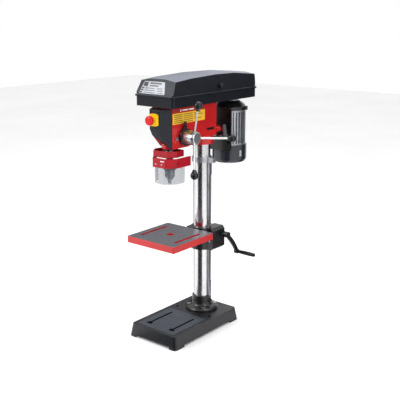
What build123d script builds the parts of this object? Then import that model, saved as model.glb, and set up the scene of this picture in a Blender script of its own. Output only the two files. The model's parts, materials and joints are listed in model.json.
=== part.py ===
from build123d import *
import math
import os

# Bench drill press, millimetres. Origin: column axis at the underside of the base.
# +Z up, -Y to the front where the drill is, +X to the side with the feed levers.

# --- driving dimensions -------------------------------------------------------
COLUMN_R = 36.0
COLUMN_WALL = 4.0
COLUMN_TOP = 950.0
SPINDLE_Y = -205.0

BASE_W, BASE_L, BASE_H = 238.0, 411.6, 55.5
BASE_Y = -114.0
BASE_FLARE = 8.6
BASE_WALL = 9.0
BASE_SLOT_X, BASE_SLOT_Y, BASE_SLOT_L, BASE_SLOT_W = 61.0, -206.0, 153.0, 10.0
BENCH_HOLE_X, BENCH_HOLE_Y, BENCH_HOLE_R = 90.0, -60.0, 7.0

HOLDER_R, HOLDER_TIER = 70.0, 12.0
HOLDER_TOP = 120.0
HOLDER_BOLT_R = 56.0

TABLE_SIZE, TABLE_T, TABLE_TOP = 250.0, 27.0, 439.5
TABLE_SLOT_X, TABLE_SLOT_L, TABLE_SLOT_W = 90.0, 161.0, 13.0
TABLE_HOLE_R = 15.0
TILT_Z = 385.0

RACK_X, RACK_MODULE = 45.0, 2.0
RACK_LOW, RACK_HIGH = 121.0, 713.0
TEETH_LOW, TEETH_HIGH = 190.0, 662.0
LIFT_TEETH = 12
LIFT_Z = 375.0
CRANK_Y, CRANK_Z = 45.0, 398.0
CRANK_ARM_Y, CRANK_ARM_Z = 118.0, 306.0
COLLAR_LOW, COLLAR_HIGH, COLLAR_R = 714.0, 736.0, 42.0

HEAD_HALF, HEAD_FRONT, HEAD_REAR = 52.0, -247.0, 35.0
HEAD_LOW, HEAD_STEP, HEAD_TOP = 803.0, 827.0, 969.6
HEAD_WALL = 8.0
SOCKET_R, SOCKET_LOW = 47.0, 791.0
PANEL_FRONT, PANEL_TOP = -290.0, 960.0

QUILL_R, QUILL_LOW, QUILL_HIGH = 20.0, 766.0, 932.0
FEED_MODULE, FEED_TEETH = 1.5, 14
FEED_Z = 846.0
FEED_PITCH_R = FEED_MODULE * FEED_TEETH / 2
QUILL_RACK_Y = SPINDLE_Y + QUILL_R - 3.0
FEED_Y = QUILL_RACK_Y + FEED_PITCH_R
HUB_R, HUB_IN, HUB_OUT = 28.5, 66.0, 120.0
LEVER_ROOT_X, LEVER_CONE, LEVER_LENGTH = 103.0, 26.0, 172.0
LEVER_ANGLES = (-25.0, 95.0, -145.0)

COVER_HALF, COVER_FRONT, COVER_BACK = 97.7, -293.0, 250.0
TRAY_LOW, TRAY_HIGH = 970.0, 1010.5
COVER_WALL, RIM = 3.0, 4.9
LID_LOW = 1011.0

IDLER_Y, MOTOR_Y = -18.0, 193.0
CONE_LOW, CONE_STEP = 984.0, 14.0
SPINDLE_CONE = (58.0, 50.0, 42.0, 34.0)
IDLER_CONE = (28.0, 36.0, 44.0, 52.0)
MOTOR_CONE = (48.0, 40.0, 32.0, 24.0)
FRONT_STEP, REAR_STEP = 0, 2
GROOVE = 8.0

MOTOR_R, FAN_R = 68.0, 75.0
FAN_LOW, SHELL_LOW, SHELL_HIGH, BELL_HIGH = 686.0, 764.0, 914.0, 954.0
PLATE_Y, PLATE_T, PLATE_HALF, PLATE_LOW, PLATE_HIGH = 98.0, 6.0, 77.0, 748.0, 931.0
ROD_X, ROD_Z, ROD_R = 42.0, 850.0, 8.0

RUN = 0.06    # radial clearance of a running fit
GAP = 0.4     # clearance between pieces that only pass each other

os.makedirs("parts", exist_ok=True)


# --- shared shapes ------------------------------------------------------------
def across(x, y=0.0, z=0.0):
    """Sketch plane facing +X: its own x runs along Y and its own y along Z."""
    return Plane(origin=(x, y, z), x_dir=(0, 1, 0), z_dir=(1, 0, 0))


def facing(y, x=0.0, z=0.0):
    """Sketch plane facing -Y: its own x runs along X and its own y along Z."""
    return Plane(origin=(x, y, z), x_dir=(1, 0, 0), z_dir=(0, -1, 0))


def ring(r_out, r_in, low, high, x=0.0, y=0.0):
    """Upright tube between two heights."""
    with BuildPart() as tube:
        with BuildSketch(Plane.XY.offset(low)):
            with Locations((x, y)):
                Circle(r_out)
                Circle(r_in, mode=Mode.SUBTRACT)
        extrude(amount=high - low)
    return tube.part


def gear_outline(module, teeth):
    """Closed tooth outline of a spur gear, with a tooth on its own +X axis."""
    pitch_r = module * teeth / 2
    points = []
    for n in range(teeth):
        for share, radius in ((-0.30, -1.2), (-0.15, 0.9), (0.15, 0.9), (0.30, -1.2)):
            turn = 2 * math.pi * (n + share) / teeth
            r = pitch_r + radius * module
            points.append((r * math.cos(turn), r * math.sin(turn)))
    return points


def saw_outline(tip, depth, start, pitch, count):
    """Outline that removes every space of a toothed rack in one cut, first space at start."""
    points = [(tip + 2, start - pitch / 2), (tip, start - pitch / 2)]
    for n in range(count):
        z = start + n * pitch
        points += [(tip, z - 0.38 * pitch), (tip - depth, z - 0.18 * pitch)]
        points += [(tip - depth, z + 0.18 * pitch), (tip, z + 0.38 * pitch)]
    points += [(tip, start + (count - 0.5) * pitch), (tip + 2, start + (count - 0.5) * pitch)]
    return points


def cone_profile(radii, bore, low):
    """Half section of a stepped V-belt cone, from its bore outwards."""
    points = [(bore, low), (radii[0], low)]
    for n, radius in enumerate(radii):
        z = low + n * CONE_STEP
        points += [(radius, z + 1.5), (radius - GROOVE, z + 4), (radius - GROOVE, z + 10)]
        points += [(radius, z + CONE_STEP - 1.5), (radius, z + CONE_STEP)]
        if n + 1 < len(radii):
            points.append((radii[n + 1], z + CONE_STEP))
    points.append((bore, low + len(radii) * CONE_STEP))
    return points


def cone_pulley(radii, bore, y, low):
    """Stepped pulley turning about an upright axis at the given y."""
    with BuildPart() as cone:
        with BuildSketch(Plane(origin=(0, y, 0), x_dir=(1, 0, 0), z_dir=(0, -1, 0))):
            with BuildLine():
                Polyline(*cone_profile(radii, bore, low), close=True)
            make_face()
        revolve(axis=Axis((0, y, 0), (0, 0, 1)))
    return cone.part


def belt(y0, r0, y1, r1, z):
    """V-belt round two pulleys on the machine's centre line."""
    lean = math.asin((r0 - r1) / abs(y1 - y0))
    with BuildPart() as loop:
        for grow, mode in ((9.0, Mode.ADD), (GAP, Mode.SUBTRACT)):
            a, b = r0 + grow, r1 + grow
            c, s = math.cos(lean), math.sin(lean)
            with BuildSketch(Plane.XY.offset(z)):
                with Locations((0, y0)):
                    Circle(a)
                with Locations((0, y1)):
                    Circle(b)
                with BuildLine():
                    Polyline((a * c, y0 + a * s), (b * c, y1 + b * s),
                             (-b * c, y1 + b * s), (-a * c, y0 + a * s), close=True)
                make_face()
            extrude(amount=6.0, mode=mode)
    return loop.part


# --- base ---------------------------------------------------------------------
def base_block(width, length, low, high, flare):
    """Block with drafted sides, wider at its lower end."""
    with BuildPart() as block:
        with BuildSketch(Plane.XY.offset(low)):
            with Locations((0, BASE_Y)):
                RectangleRounded(width + 2 * flare, length + 2 * flare, 14)
        with BuildSketch(Plane.XY.offset(high)):
            with Locations((0, BASE_Y)):
                RectangleRounded(width, length, 12)
        loft()
    return block.part


FOOT_W, FOOT_L, FOOT_H = 46.0, 60.0, 9.0
base_inner = base_block(BASE_W - 2 * BASE_WALL, BASE_L - 2 * BASE_WALL,
                        -1.0, BASE_H - 11.0, BASE_FLARE)
with BuildPart() as base:
    add(base_block(BASE_W, BASE_L, 0.0, BASE_H, BASE_FLARE))
    add(base_inner, mode=Mode.SUBTRACT)
    with BuildSketch(Plane.XY):    # arches between the four feet
        with Locations((0, BASE_Y)):
            Rectangle(BASE_W + 40 - 2 * FOOT_W, BASE_L + 60)
            Rectangle(BASE_W + 40, BASE_L + 20 - 2 * FOOT_L)
    extrude(amount=FOOT_H, mode=Mode.SUBTRACT)
    with BuildSketch(Plane.XY):    # column seat, down to the bench
        Circle(HOLDER_R - 4)
    extrude(amount=BASE_H)
    with BuildSketch(Plane.XY.offset(BASE_H)):    # ground work face
        with Locations((0, -203)):
            RectangleRounded(200, 212, 4)
    extrude(amount=1.5)
    with BuildSketch(Plane.XY.offset(BASE_H + 2)):    # slots for hold-down bolts
        with Locations((-BASE_SLOT_X, BASE_SLOT_Y), (BASE_SLOT_X, BASE_SLOT_Y)):
            SlotOverall(BASE_SLOT_L, BASE_SLOT_W, rotation=90)
        with Locations((-BASE_SLOT_X, BASE_SLOT_Y - 67), (BASE_SLOT_X, BASE_SLOT_Y - 67)):
            RectangleRounded(25, 18, 4)
    extrude(amount=-20, mode=Mode.SUBTRACT)
    with Locations((-BENCH_HOLE_X, BENCH_HOLE_Y, BASE_H), (BENCH_HOLE_X, BENCH_HOLE_Y, BASE_H)):
        Hole(BENCH_HOLE_R, depth=30)
    with BuildSketch(Plane.XY.offset(BASE_H - 25)):    # tapped holes under the holder
        with PolarLocations(HOLDER_BOLT_R, 4, start_angle=45):
            Circle(5)
    extrude(amount=25, mode=Mode.SUBTRACT)
base.part.label = "base"
export_step(base.part, "parts/base.step")

# --- column holder, its bolts and set screw -------------------------------------
TIER_ONE = BASE_H + HOLDER_TIER
TIER_TWO = TIER_ONE + HOLDER_TIER
SET_SCREW_Z = 98.0
with BuildPart() as column_holder:
    with BuildSketch(Plane.XZ):
        with BuildLine():
            Polyline((COLUMN_R, BASE_H), (HOLDER_R, BASE_H), (HOLDER_R, TIER_ONE - 3),
                     (HOLDER_R - 2, TIER_ONE), (HOLDER_R - 4, TIER_ONE), (HOLDER_R - 6, TIER_TWO - 8),
                     (48, TIER_TWO - 4))
            ThreePointArc((48, TIER_TWO - 4), (43.5, TIER_TWO + 4), (42, TIER_TWO + 16))
            Polyline((42, TIER_TWO + 16), (42, HOLDER_TOP - 1.5), (40.5, HOLDER_TOP),
                     (COLUMN_R, HOLDER_TOP), (COLUMN_R, BASE_H))
        make_face()
    revolve(axis=Axis.Z)
    with BuildSketch(across(38)):    # boss for the set screw
        with Locations((0, SET_SCREW_Z)):
            Circle(9)
    extrude(amount=11)
    with BuildSketch(across(COLUMN_R - 2)):
        with Locations((0, SET_SCREW_Z)):
            Circle(4)
    extrude(amount=20, mode=Mode.SUBTRACT)
    with BuildSketch(Plane.XY):    # column bore
        Circle(COLUMN_R)
    extrude(amount=200, mode=Mode.SUBTRACT)
    with BuildSketch(Plane.XY.offset(BASE_H)):
        with PolarLocations(HOLDER_BOLT_R, 4, start_angle=45):
            Circle(5)
    extrude(amount=40, mode=Mode.SUBTRACT)
    with BuildSketch(Plane.XY.offset(TIER_ONE + 3)):    # spot faces
        with PolarLocations(HOLDER_BOLT_R, 4, start_angle=45):
            Circle(11)
    extrude(amount=20, mode=Mode.SUBTRACT)
column_holder.part.label = "column_holder"
export_step(column_holder.part, "parts/column_holder.step")

with BuildPart() as holder_bolts:
    with BuildSketch(Plane.XY.offset(BASE_H - 22)):
        with PolarLocations(HOLDER_BOLT_R, 4, start_angle=45):
            Circle(4.9)
    extrude(amount=22 + HOLDER_TIER + 3)
    with BuildSketch(Plane.XY.offset(TIER_ONE + 3)):
        with PolarLocations(HOLDER_BOLT_R, 4, start_angle=45):
            RegularPolygon(8.6, 6, major_radius=False)
    extrude(amount=6.5)
holder_bolts.part.label = "holder_bolts"
export_step(holder_bolts.part, "parts/holder_bolts.step")

with BuildPart() as holder_set_screw:
    with BuildSketch(across(COLUMN_R)):
        with Locations((0, SET_SCREW_Z)):
            Circle(4)
    extrude(amount=16)
    with BuildSketch(across(COLUMN_R + 16)):
        with Locations((0, SET_SCREW_Z)):
            RegularPolygon(2, 6)
    extrude(amount=-5, mode=Mode.SUBTRACT)
holder_set_screw.part.label = "holder_set_screw"
export_step(holder_set_screw.part, "parts/holder_set_screw.step")

# --- column, rack and rack collar ----------------------------------------------
with BuildPart() as column:
    add(ring(COLUMN_R, COLUMN_R - COLUMN_WALL, BASE_H, COLUMN_TOP))
column.part.label = "column"
export_step(column.part, "parts/column.step")

RACK_PITCH = math.pi * RACK_MODULE
RACK_TIP = RACK_X + RACK_MODULE
SPACE_COUNT = int((TEETH_HIGH - TEETH_LOW) / RACK_PITCH)
lowest_space = LIFT_Z - RACK_PITCH * round((LIFT_Z - TEETH_LOW) / RACK_PITCH)
with BuildPart() as rack:
    with BuildSketch(Plane.XY.offset(RACK_LOW)):
        with BuildLine():
            Polyline((COLUMN_R, -8), (RACK_TIP, -8), (RACK_TIP, 8), (COLUMN_R, 8), close=True)
        make_face()
        Circle(COLUMN_R + GAP, mode=Mode.SUBTRACT)
    extrude(amount=RACK_HIGH - RACK_LOW)
    with BuildSketch(facing(9)):    # teeth: one saw-tooth outline cuts every space
        with BuildLine():
            Polyline(*saw_outline(RACK_TIP, 4.4, lowest_space, RACK_PITCH, SPACE_COUNT), close=True)
        make_face()
    extrude(amount=18, mode=Mode.SUBTRACT)
rack.part.label = "rack"
export_step(rack.part, "parts/rack.step")

with BuildPart() as rack_collar:
    with BuildSketch(Plane.XY.offset(COLLAR_LOW)):
        Circle(COLLAR_R)
        with Locations((52, 0)):
            RectangleRounded(28, 24, 3)
    extrude(amount=COLLAR_HIGH - COLLAR_LOW)
    with BuildSketch(Plane.XY.offset(COLLAR_LOW - 1)):
        Circle(COLUMN_R)
    extrude(amount=40, mode=Mode.SUBTRACT)
rack_collar.part.label = "rack_collar"
export_step(rack_collar.part, "parts/rack_collar.step")

# --- table bracket, its lock and the lift drive ----------------------------------
BRACKET_LOW, BRACKET_HIGH, BRACKET_R = 336.0, 432.0, 49.0
BOX_FRONT, BOX_REAR, BOX_RIGHT = -22.0, 62.0, 76.0
ARM_FACE_Y = -66.0
LIFT_X = RACK_X + LIFT_TEETH * RACK_MODULE / 2
LUG_X, LUG_HALF, LUG_Z = -62.0, 16.0, 398.0
WORM_R = 8.0
WHEEL_TEETH = 16
WHEEL_R = CRANK_Z - LIFT_Z - WORM_R - 0.6
with BuildPart() as table_bracket:
    with BuildSketch(Plane.XY.offset(BRACKET_LOW)):
        Circle(BRACKET_R)
    extrude(amount=BRACKET_HIGH - BRACKET_LOW)
    with BuildSketch(facing(BOX_REAR)):    # housing of the lift drive
        with BuildLine():
            Polyline((20, BRACKET_LOW), (64, BRACKET_LOW - 2), (BOX_RIGHT, BRACKET_LOW + 8),
                     (BOX_RIGHT, BRACKET_HIGH - 12), (66, BRACKET_HIGH), (20, BRACKET_HIGH), close=True)
        make_face()
    extrude(amount=BOX_REAR - BOX_FRONT)
    with BuildSketch(facing(0, z=TILT_Z)):    # round face that carries the table
        Circle(31)
    extrude(amount=-ARM_FACE_Y)
    with BuildSketch(Plane.XY.offset(352)):    # clamp lugs
        with Locations((LUG_X + 6, 0)):
            RectangleRounded(36, 2 * LUG_HALF, 4)
    extrude(amount=66)
    with BuildSketch(across(BOX_RIGHT - 4)):    # boss of the crank shaft
        with Locations((CRANK_Y, CRANK_Z)):
            Circle(15)
    extrude(amount=10)
    with BuildSketch(Plane.XY.offset(BRACKET_LOW - 10)):
        Circle(COLUMN_R + RUN)
    extrude(amount=120, mode=Mode.SUBTRACT)
    with BuildSketch(Plane.XY.offset(BRACKET_LOW - 10)):    # way for the rack, saw cut of the clamp
        with Locations((42.3, 0)):
            Rectangle(14, 18)
        with Locations((-60, 0)):
            Rectangle(60, 3)
    extrude(amount=120, mode=Mode.SUBTRACT)
    with BuildSketch(facing(BOX_REAR - 6)):    # chamber of the pinion and worm wheel
        with Locations((LIFT_X, LIFT_Z)):
            Circle(17)
    extrude(amount=BOX_REAR - 6 + 12, mode=Mode.SUBTRACT)
    with BuildSketch(across(44)):    # chamber of the worm
        with Locations((CRANK_Y, CRANK_Z)):
            Circle(WORM_R + 1)
    extrude(amount=BOX_RIGHT - 44 - 6, mode=Mode.SUBTRACT)
    with BuildSketch(across(44)):
        with Locations((CRANK_Y, CRANK_Z)):
            Circle(6 + RUN)
    extrude(amount=60, mode=Mode.SUBTRACT)
    with BuildSketch(facing(BOX_REAR + 1)):    # bores of the pinion's journals
        with Locations((LIFT_X, LIFT_Z)):
            Circle(5 + RUN)
    extrude(amount=90, mode=Mode.SUBTRACT)
    with BuildSketch(facing(40)):    # clamp screw
        with Locations((LUG_X - 2, LUG_Z)):
            Circle(5 + RUN)
    extrude(amount=80, mode=Mode.SUBTRACT)
    with BuildSketch(facing(0, z=TILT_Z)):    # table pivot bolt
        Circle(8 + RUN)
    extrude(amount=90, mode=Mode.SUBTRACT)
table_bracket.part.label = "table_bracket"
export_step(table_bracket.part, "parts/table_bracket.step")

with BuildPart() as lift_pinion:
    with BuildSketch(facing(8, LIFT_X, LIFT_Z)):
        with BuildLine():
            Polyline(*gear_outline(RACK_MODULE, LIFT_TEETH), close=True)
        make_face()
    extrude(amount=16)
    with BuildSketch(facing(54, LIFT_X, LIFT_Z)):    # worm wheel beside the rack
        with BuildLine():
            Polyline(*gear_outline(2 * WHEEL_R / (WHEEL_TEETH + 2), WHEEL_TEETH), close=True)
        make_face()
    extrude(amount=18)
    with BuildSketch(facing(BOX_REAR - 1, LIFT_X, LIFT_Z)):
        Circle(5)
    extrude(amount=BOX_REAR - 1 - BOX_FRONT - 2)
lift_pinion.part.label = "lift_pinion"
export_step(lift_pinion.part, "parts/lift_pinion.step")

CRANK_X = 101.0
with BuildPart() as worm_shaft:
    with BuildSketch(Plane(origin=(0, CRANK_Y, CRANK_Z), x_dir=(1, 0, 0), z_dir=(0, -1, 0))):
        with BuildLine():
            worm_points = [(45, 0), (45, 6)]
            for n in range(5):
                x = 46 + n * 4.6
                worm_points += [(x, 5), (x + 1.2, WORM_R), (x + 2.4, WORM_R), (x + 3.6, 5)]
            worm_points += [(69.4, 6), (CRANK_X + 7, 6), (CRANK_X + 7, 0)]
            Polyline(*worm_points, close=True)
        make_face()
    revolve(axis=Axis((0, CRANK_Y, CRANK_Z), (1, 0, 0)))
worm_shaft.part.label = "worm_shaft"
export_step(worm_shaft.part, "parts/worm_shaft.step")

with BuildPart() as crank_arm:
    with BuildSketch(across(CRANK_X - 10)):
        with Locations((CRANK_Y, CRANK_Z)):
            Circle(13)
    extrude(amount=20)
    with BuildSketch(across(CRANK_X - 4)):    # bent web
        with BuildLine():
            ThreePointArc((CRANK_Y - 3, CRANK_Z + 11), (93, 360), (CRANK_ARM_Y + 7, CRANK_ARM_Z + 6))
            Line((CRANK_ARM_Y + 7, CRANK_ARM_Z + 6), (CRANK_ARM_Y - 8, CRANK_ARM_Z - 2))
            ThreePointArc((CRANK_ARM_Y - 8, CRANK_ARM_Z - 2), (82, 344), (CRANK_Y - 3, CRANK_Z - 11))
            Line((CRANK_Y - 3, CRANK_Z - 11), (CRANK_Y - 3, CRANK_Z + 11))
        make_face()
    extrude(amount=9)
    with BuildSketch(across(CRANK_X - 8)):
        with Locations((CRANK_ARM_Y, CRANK_ARM_Z)):
            Circle(10.5)
    extrude(amount=16)
    with BuildSketch(across(CRANK_X + 8)):    # pin of the grip
        with Locations((CRANK_ARM_Y, CRANK_ARM_Z)):
            Circle(4)
    extrude(amount=84)
    with BuildSketch(across(CRANK_X - 20)):
        with Locations((CRANK_Y, CRANK_Z)):
            Circle(6)
    extrude(amount=27, mode=Mode.SUBTRACT)
crank_arm.part.label = "crank_arm"
export_step(crank_arm.part, "parts/crank_arm.step")

GRIP_LOW, GRIP_LENGTH = CRANK_X + 8.4, 84.0
with BuildPart() as crank_grip:
    with BuildSketch(Plane(origin=(0, CRANK_ARM_Y, CRANK_ARM_Z), x_dir=(1, 0, 0), z_dir=(0, -1, 0))):
        with BuildLine():
            Line((GRIP_LOW, 4 + RUN), (GRIP_LOW, 7))
            ThreePointArc((GRIP_LOW, 7), (GRIP_LOW + 50, 9), (GRIP_LOW + GRIP_LENGTH, 8))
            Polyline((GRIP_LOW + GRIP_LENGTH, 8), (GRIP_LOW + GRIP_LENGTH + 3, 6),
                     (GRIP_LOW + GRIP_LENGTH + 3, 0), (GRIP_LOW + GRIP_LENGTH, 0),
                     (GRIP_LOW + GRIP_LENGTH, 4 + RUN), (GRIP_LOW, 4 + RUN))
        make_face()
    revolve(axis=Axis((0, CRANK_ARM_Y, CRANK_ARM_Z), (1, 0, 0)))
crank_grip.part.label = "crank_grip"
export_step(crank_grip.part, "parts/crank_grip.step")

with BuildPart() as table_lock_lever:
    with BuildSketch(facing(LUG_HALF + 2, LUG_X - 2, LUG_Z)):
        Circle(5)
    extrude(amount=2 * LUG_HALF + 14)
    with BuildSketch(facing(-LUG_HALF - GAP, LUG_X - 2, LUG_Z)):
        Circle(9)
    extrude(amount=14)
    with BuildSketch(facing(-LUG_HALF - 5, LUG_X - 2, LUG_Z)):
        with Locations((-24, 0)):
            SlotOverall(58, 9)
    extrude(amount=8)
table_lock_lever.part.label = "table_lock_lever"
export_step(table_lock_lever.part, "parts/table_lock_lever.step")

# --- table -------------------------------------------------------------------
TABLE_LOW = TABLE_TOP - TABLE_T
ARM_GAP_Y = ARM_FACE_Y - GAP
with BuildPart() as table:
    with BuildSketch(Plane.XY.offset(TABLE_LOW)):
        with Locations((0, SPINDLE_Y)):
            RectangleRounded(TABLE_SIZE, TABLE_SIZE, 5)
    extrude(amount=TABLE_T)
    chamfer(table.edges().group_by(Axis.Z)[-1], 1.2)
    with BuildSketch(Plane.XY.offset(TABLE_LOW)):    # hollow underside behind the skirt
        with Locations((0, SPINDLE_Y)):
            RectangleRounded(TABLE_SIZE - 16, TABLE_SIZE - 16, 4)
    extrude(amount=TABLE_T - 11, mode=Mode.SUBTRACT)
    with BuildSketch(Plane.XY.offset(TABLE_LOW)):    # ribs, slot walls and centre boss
        with Locations((0, SPINDLE_Y)):
            Circle(24)
            Rectangle(TABLE_SIZE - 10, 8)
        with Locations((-TABLE_SLOT_X, SPINDLE_Y), (TABLE_SLOT_X, SPINDLE_Y)):
            SlotOverall(TABLE_SLOT_L + 14, TABLE_SLOT_W + 12, rotation=90)
        with Locations((0, -140)):
            Rectangle(60, 120)
    extrude(amount=TABLE_T - 6)
    with BuildSketch(facing(ARM_GAP_Y, z=TILT_Z)):    # pivot face and the neck below the table
        Circle(31)
    extrude(amount=18)
    with BuildSketch(facing(ARM_GAP_Y - 14, z=TILT_Z)):
        with Locations((0, 14)):
            Rectangle(52, 30)
    extrude(amount=76)
    with BuildSketch(facing(ARM_FACE_Y, z=TILT_Z)):
        Circle(8 + RUN)
    extrude(amount=16, mode=Mode.SUBTRACT)
    with BuildSketch(facing(ARM_FACE_Y - 9, z=TILT_Z)):
        Circle(13.4)
    extrude(amount=7.4, mode=Mode.SUBTRACT)
    with BuildSketch(Plane.XY.offset(TABLE_LOW - 40)):
        with Locations((0, SPINDLE_Y)):
            Circle(TABLE_HOLE_R)
        with Locations((-TABLE_SLOT_X, SPINDLE_Y), (TABLE_SLOT_X, SPINDLE_Y)):
            SlotOverall(TABLE_SLOT_L, TABLE_SLOT_W, rotation=90)
    extrude(amount=90, mode=Mode.SUBTRACT)
table.part.label = "table"
export_step(table.part, "parts/table.step")

with BuildPart() as tilt_bolt:
    with BuildSketch(facing(-COLUMN_R - 1, z=TILT_Z)):
        Circle(8)
    extrude(amount=40)
    with BuildSketch(facing(ARM_FACE_Y - 9.2, z=TILT_Z)):
        RegularPolygon(13, 6)
    extrude(amount=7)
tilt_bolt.part.label = "tilt_bolt"
export_step(tilt_bolt.part, "parts/tilt_bolt.step")

# --- head casting ----------------------------------------------------------------
PIVOT_X, PIVOT_Y = -28.0, -100.0
STOP_SCREW_Y, STOP_SCREW_Z = -222.0, 843.0
with BuildPart() as head_pocket:
    with BuildSketch(Plane.XY.offset(812)):
        with Locations((0, (HEAD_FRONT + HEAD_REAR) / 2)):
            RectangleRounded(2 * (HEAD_HALF - HEAD_WALL), HEAD_REAR - HEAD_FRONT - 2 * HEAD_WALL, 6)
    extrude(amount=200)
    with BuildSketch(across(-60)):    # the pocket's floor climbs to the rear
        with BuildLine():
            Polyline((-145, 800), (-60, 836), (60, 836), (60, 800), close=True)
        make_face()
    extrude(amount=120, mode=Mode.SUBTRACT)
NOSE_SIDE, NOSE_FRONT, NOSE_RISE = 0.49, 1.058, 1.54    # its slope, and how far a wall lifts it


def under_nose(wall):
    """Block below the slanting lower front, raised to leave a wall above it."""
    slope = Plane(origin=(HEAD_HALF, HEAD_FRONT - 3, HEAD_LOW - 2 + NOSE_RISE * wall),
                  x_dir=(1, 0, -NOSE_SIDE), z_dir=(-NOSE_SIDE, -NOSE_FRONT, -1))
    with BuildPart() as block:
        with BuildSketch(slope):
            Rectangle(500, 500)
        extrude(amount=160)
    return block.part


with BuildPart() as head:
    with BuildSketch(across(-HEAD_HALF)):
        with BuildLine():
            Polyline((HEAD_FRONT, HEAD_TOP), (HEAD_FRONT, HEAD_LOW), (-150, HEAD_LOW),
                     (-60, HEAD_STEP), (HEAD_REAR, HEAD_STEP), (HEAD_REAR, HEAD_TOP), close=True)
        make_face()
    extrude(amount=2 * HEAD_HALF)
    fillet(head.edges().filter_by(Axis.Z).group_by(Axis.Y)[-1], 6)
    add(under_nose(0), mode=Mode.SUBTRACT)
    add(head_pocket.part - under_nose(HEAD_WALL), mode=Mode.SUBTRACT)
    with BuildSketch(Plane.XY.offset(SOCKET_LOW)):    # column socket
        Circle(SOCKET_R)
    extrude(amount=HEAD_TOP - SOCKET_LOW)
    with BuildSketch(Plane.XY.offset(HEAD_LOW - 5)):    # quill boss
        with Locations((0, SPINDLE_Y)):
            Circle(32)
    extrude(amount=HEAD_TOP - HEAD_LOW + 5)
    with BuildSketch(across(-HEAD_HALF)):    # cross boss of the feed shaft
        with Locations((FEED_Y, FEED_Z)):
            Circle(20)
    extrude(amount=2 * HEAD_HALF)
    with BuildSketch(Plane.XY.offset(900)):    # boss and web of the idler pivot
        with Locations((PIVOT_X, PIVOT_Y)):
            Circle(14)
        with Locations((PIVOT_X - 12, PIVOT_Y)):
            Rectangle(16, 10)
    extrude(amount=HEAD_TOP - 900)
    with BuildSketch(facing(60)):    # bosses of the motor's slide rods
        with Locations((-ROD_X, ROD_Z), (ROD_X, ROD_Z)):
            Circle(13)
    extrude(amount=30)
    with BuildSketch(Plane.XY.offset(SOCKET_LOW - 1)):
        Circle(COLUMN_R)
    extrude(amount=COLUMN_TOP - SOCKET_LOW + 1, mode=Mode.SUBTRACT)
    with BuildSketch(Plane.XY.offset(HEAD_LOW - 10)):
        with Locations((0, SPINDLE_Y)):
            Circle(QUILL_R + RUN)
    extrude(amount=300, mode=Mode.SUBTRACT)
    with BuildSketch(Plane.XY.offset(HEAD_TOP - 26)):    # seats of the pulley bearings
        with Locations((0, SPINDLE_Y)):
            Circle(26)
    extrude(amount=60, mode=Mode.SUBTRACT)
    with BuildSketch(across(-HEAD_HALF - 20)):
        with Locations((FEED_Y, FEED_Z)):
            Circle(12 + RUN)
    extrude(amount=2 * HEAD_HALF + 40, mode=Mode.SUBTRACT)
    with BuildSketch(facing(80)):
        with Locations((-ROD_X, ROD_Z), (ROD_X, ROD_Z)):
            Circle(ROD_R + RUN)
    extrude(amount=44, mode=Mode.SUBTRACT)
    with BuildSketch(Plane.XY.offset(880)):
        with Locations((PIVOT_X, PIVOT_Y)):
            Circle(7 + RUN)
    extrude(amount=200, mode=Mode.SUBTRACT)
    with BuildSketch(across(HEAD_HALF - 3)):    # recess and holes of the column set screws
        with Locations((-9, 858)):
            Rectangle(48, 11)
    extrude(amount=10, mode=Mode.SUBTRACT)
    with BuildSketch(across(COLUMN_R - 1)):
        with Locations((-22, 858), (6, 858)):
            Circle(4)
    extrude(amount=30, mode=Mode.SUBTRACT)
    with BuildSketch(across(HEAD_HALF - HEAD_WALL - 12)):    # hole of the quill stop screw
        with Locations((STOP_SCREW_Y, STOP_SCREW_Z)):
            Circle(5)
    extrude(amount=30, mode=Mode.SUBTRACT)
head.part.label = "head"
export_step(head.part, "parts/head.step")

with BuildPart() as head_set_screws:
    with BuildSketch(across(COLUMN_R)):
        with Locations((-22, 858), (6, 858)):
            Circle(4)
    extrude(amount=HEAD_HALF - 3 - COLUMN_R)
    with BuildSketch(Plane.XY):
        Circle(COLUMN_R)
    extrude(amount=900, mode=Mode.SUBTRACT)
head_set_screws.part.label = "head_set_screws"
export_step(head_set_screws.part, "parts/head_set_screws.step")

with BuildPart() as quill_stop_screw:
    with BuildSketch(across(HEAD_HALF - HEAD_WALL - 8)):
        with Locations((STOP_SCREW_Y, STOP_SCREW_Z)):
            Circle(5)
    extrude(amount=HEAD_WALL + 8)
    with BuildSketch(across(HEAD_HALF)):
        with Locations((STOP_SCREW_Y, STOP_SCREW_Z)):
            RegularPolygon(8, 6)
    extrude(amount=5)
    with BuildSketch(Plane.XY.offset(800)):
        with Locations((0, SPINDLE_Y)):
            Circle(32)
    extrude(amount=90, mode=Mode.SUBTRACT)
quill_stop_screw.part.label = "quill_stop_screw"
export_step(quill_stop_screw.part, "parts/quill_stop_screw.step")


# --- front panel and switch ----------------------------------------------------
SWITCH_X, SWITCH_Z, SWITCH_FACE = 2.0, 921.0, -297.0
SWITCH_W, SWITCH_H = 30.0, 33.0


def panel_block(inset, top):
    """Faceted front cover, shrunk by a wall thickness for its inside."""
    half, nose, front = HEAD_HALF - inset, 27 - inset / 2, PANEL_FRONT + inset
    with BuildPart() as block:
        with BuildSketch(Plane.XY.offset(799)):
            with BuildLine():
                Polyline((-half, HEAD_FRONT), (-half, -251), (-nose, front), (nose, front),
                         (half, -251), (half, HEAD_FRONT), close=True)
            make_face()
        extrude(amount=top - 799)
        add(under_nose(inset), mode=Mode.SUBTRACT)
    return block.part


panel_inside = panel_block(3.5, PANEL_TOP - 3.5)
with BuildPart() as front_panel:
    add(panel_block(0, PANEL_TOP))
    add(panel_inside, mode=Mode.SUBTRACT)
    with BuildSketch(facing(PANEL_FRONT + 10)):
        with Locations((SWITCH_X, SWITCH_Z)):
            Rectangle(SWITCH_W, SWITCH_H)
    extrude(amount=20, mode=Mode.SUBTRACT)
front_panel.part.label = "front_panel"
export_step(front_panel.part, "parts/front_panel.step")

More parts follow.
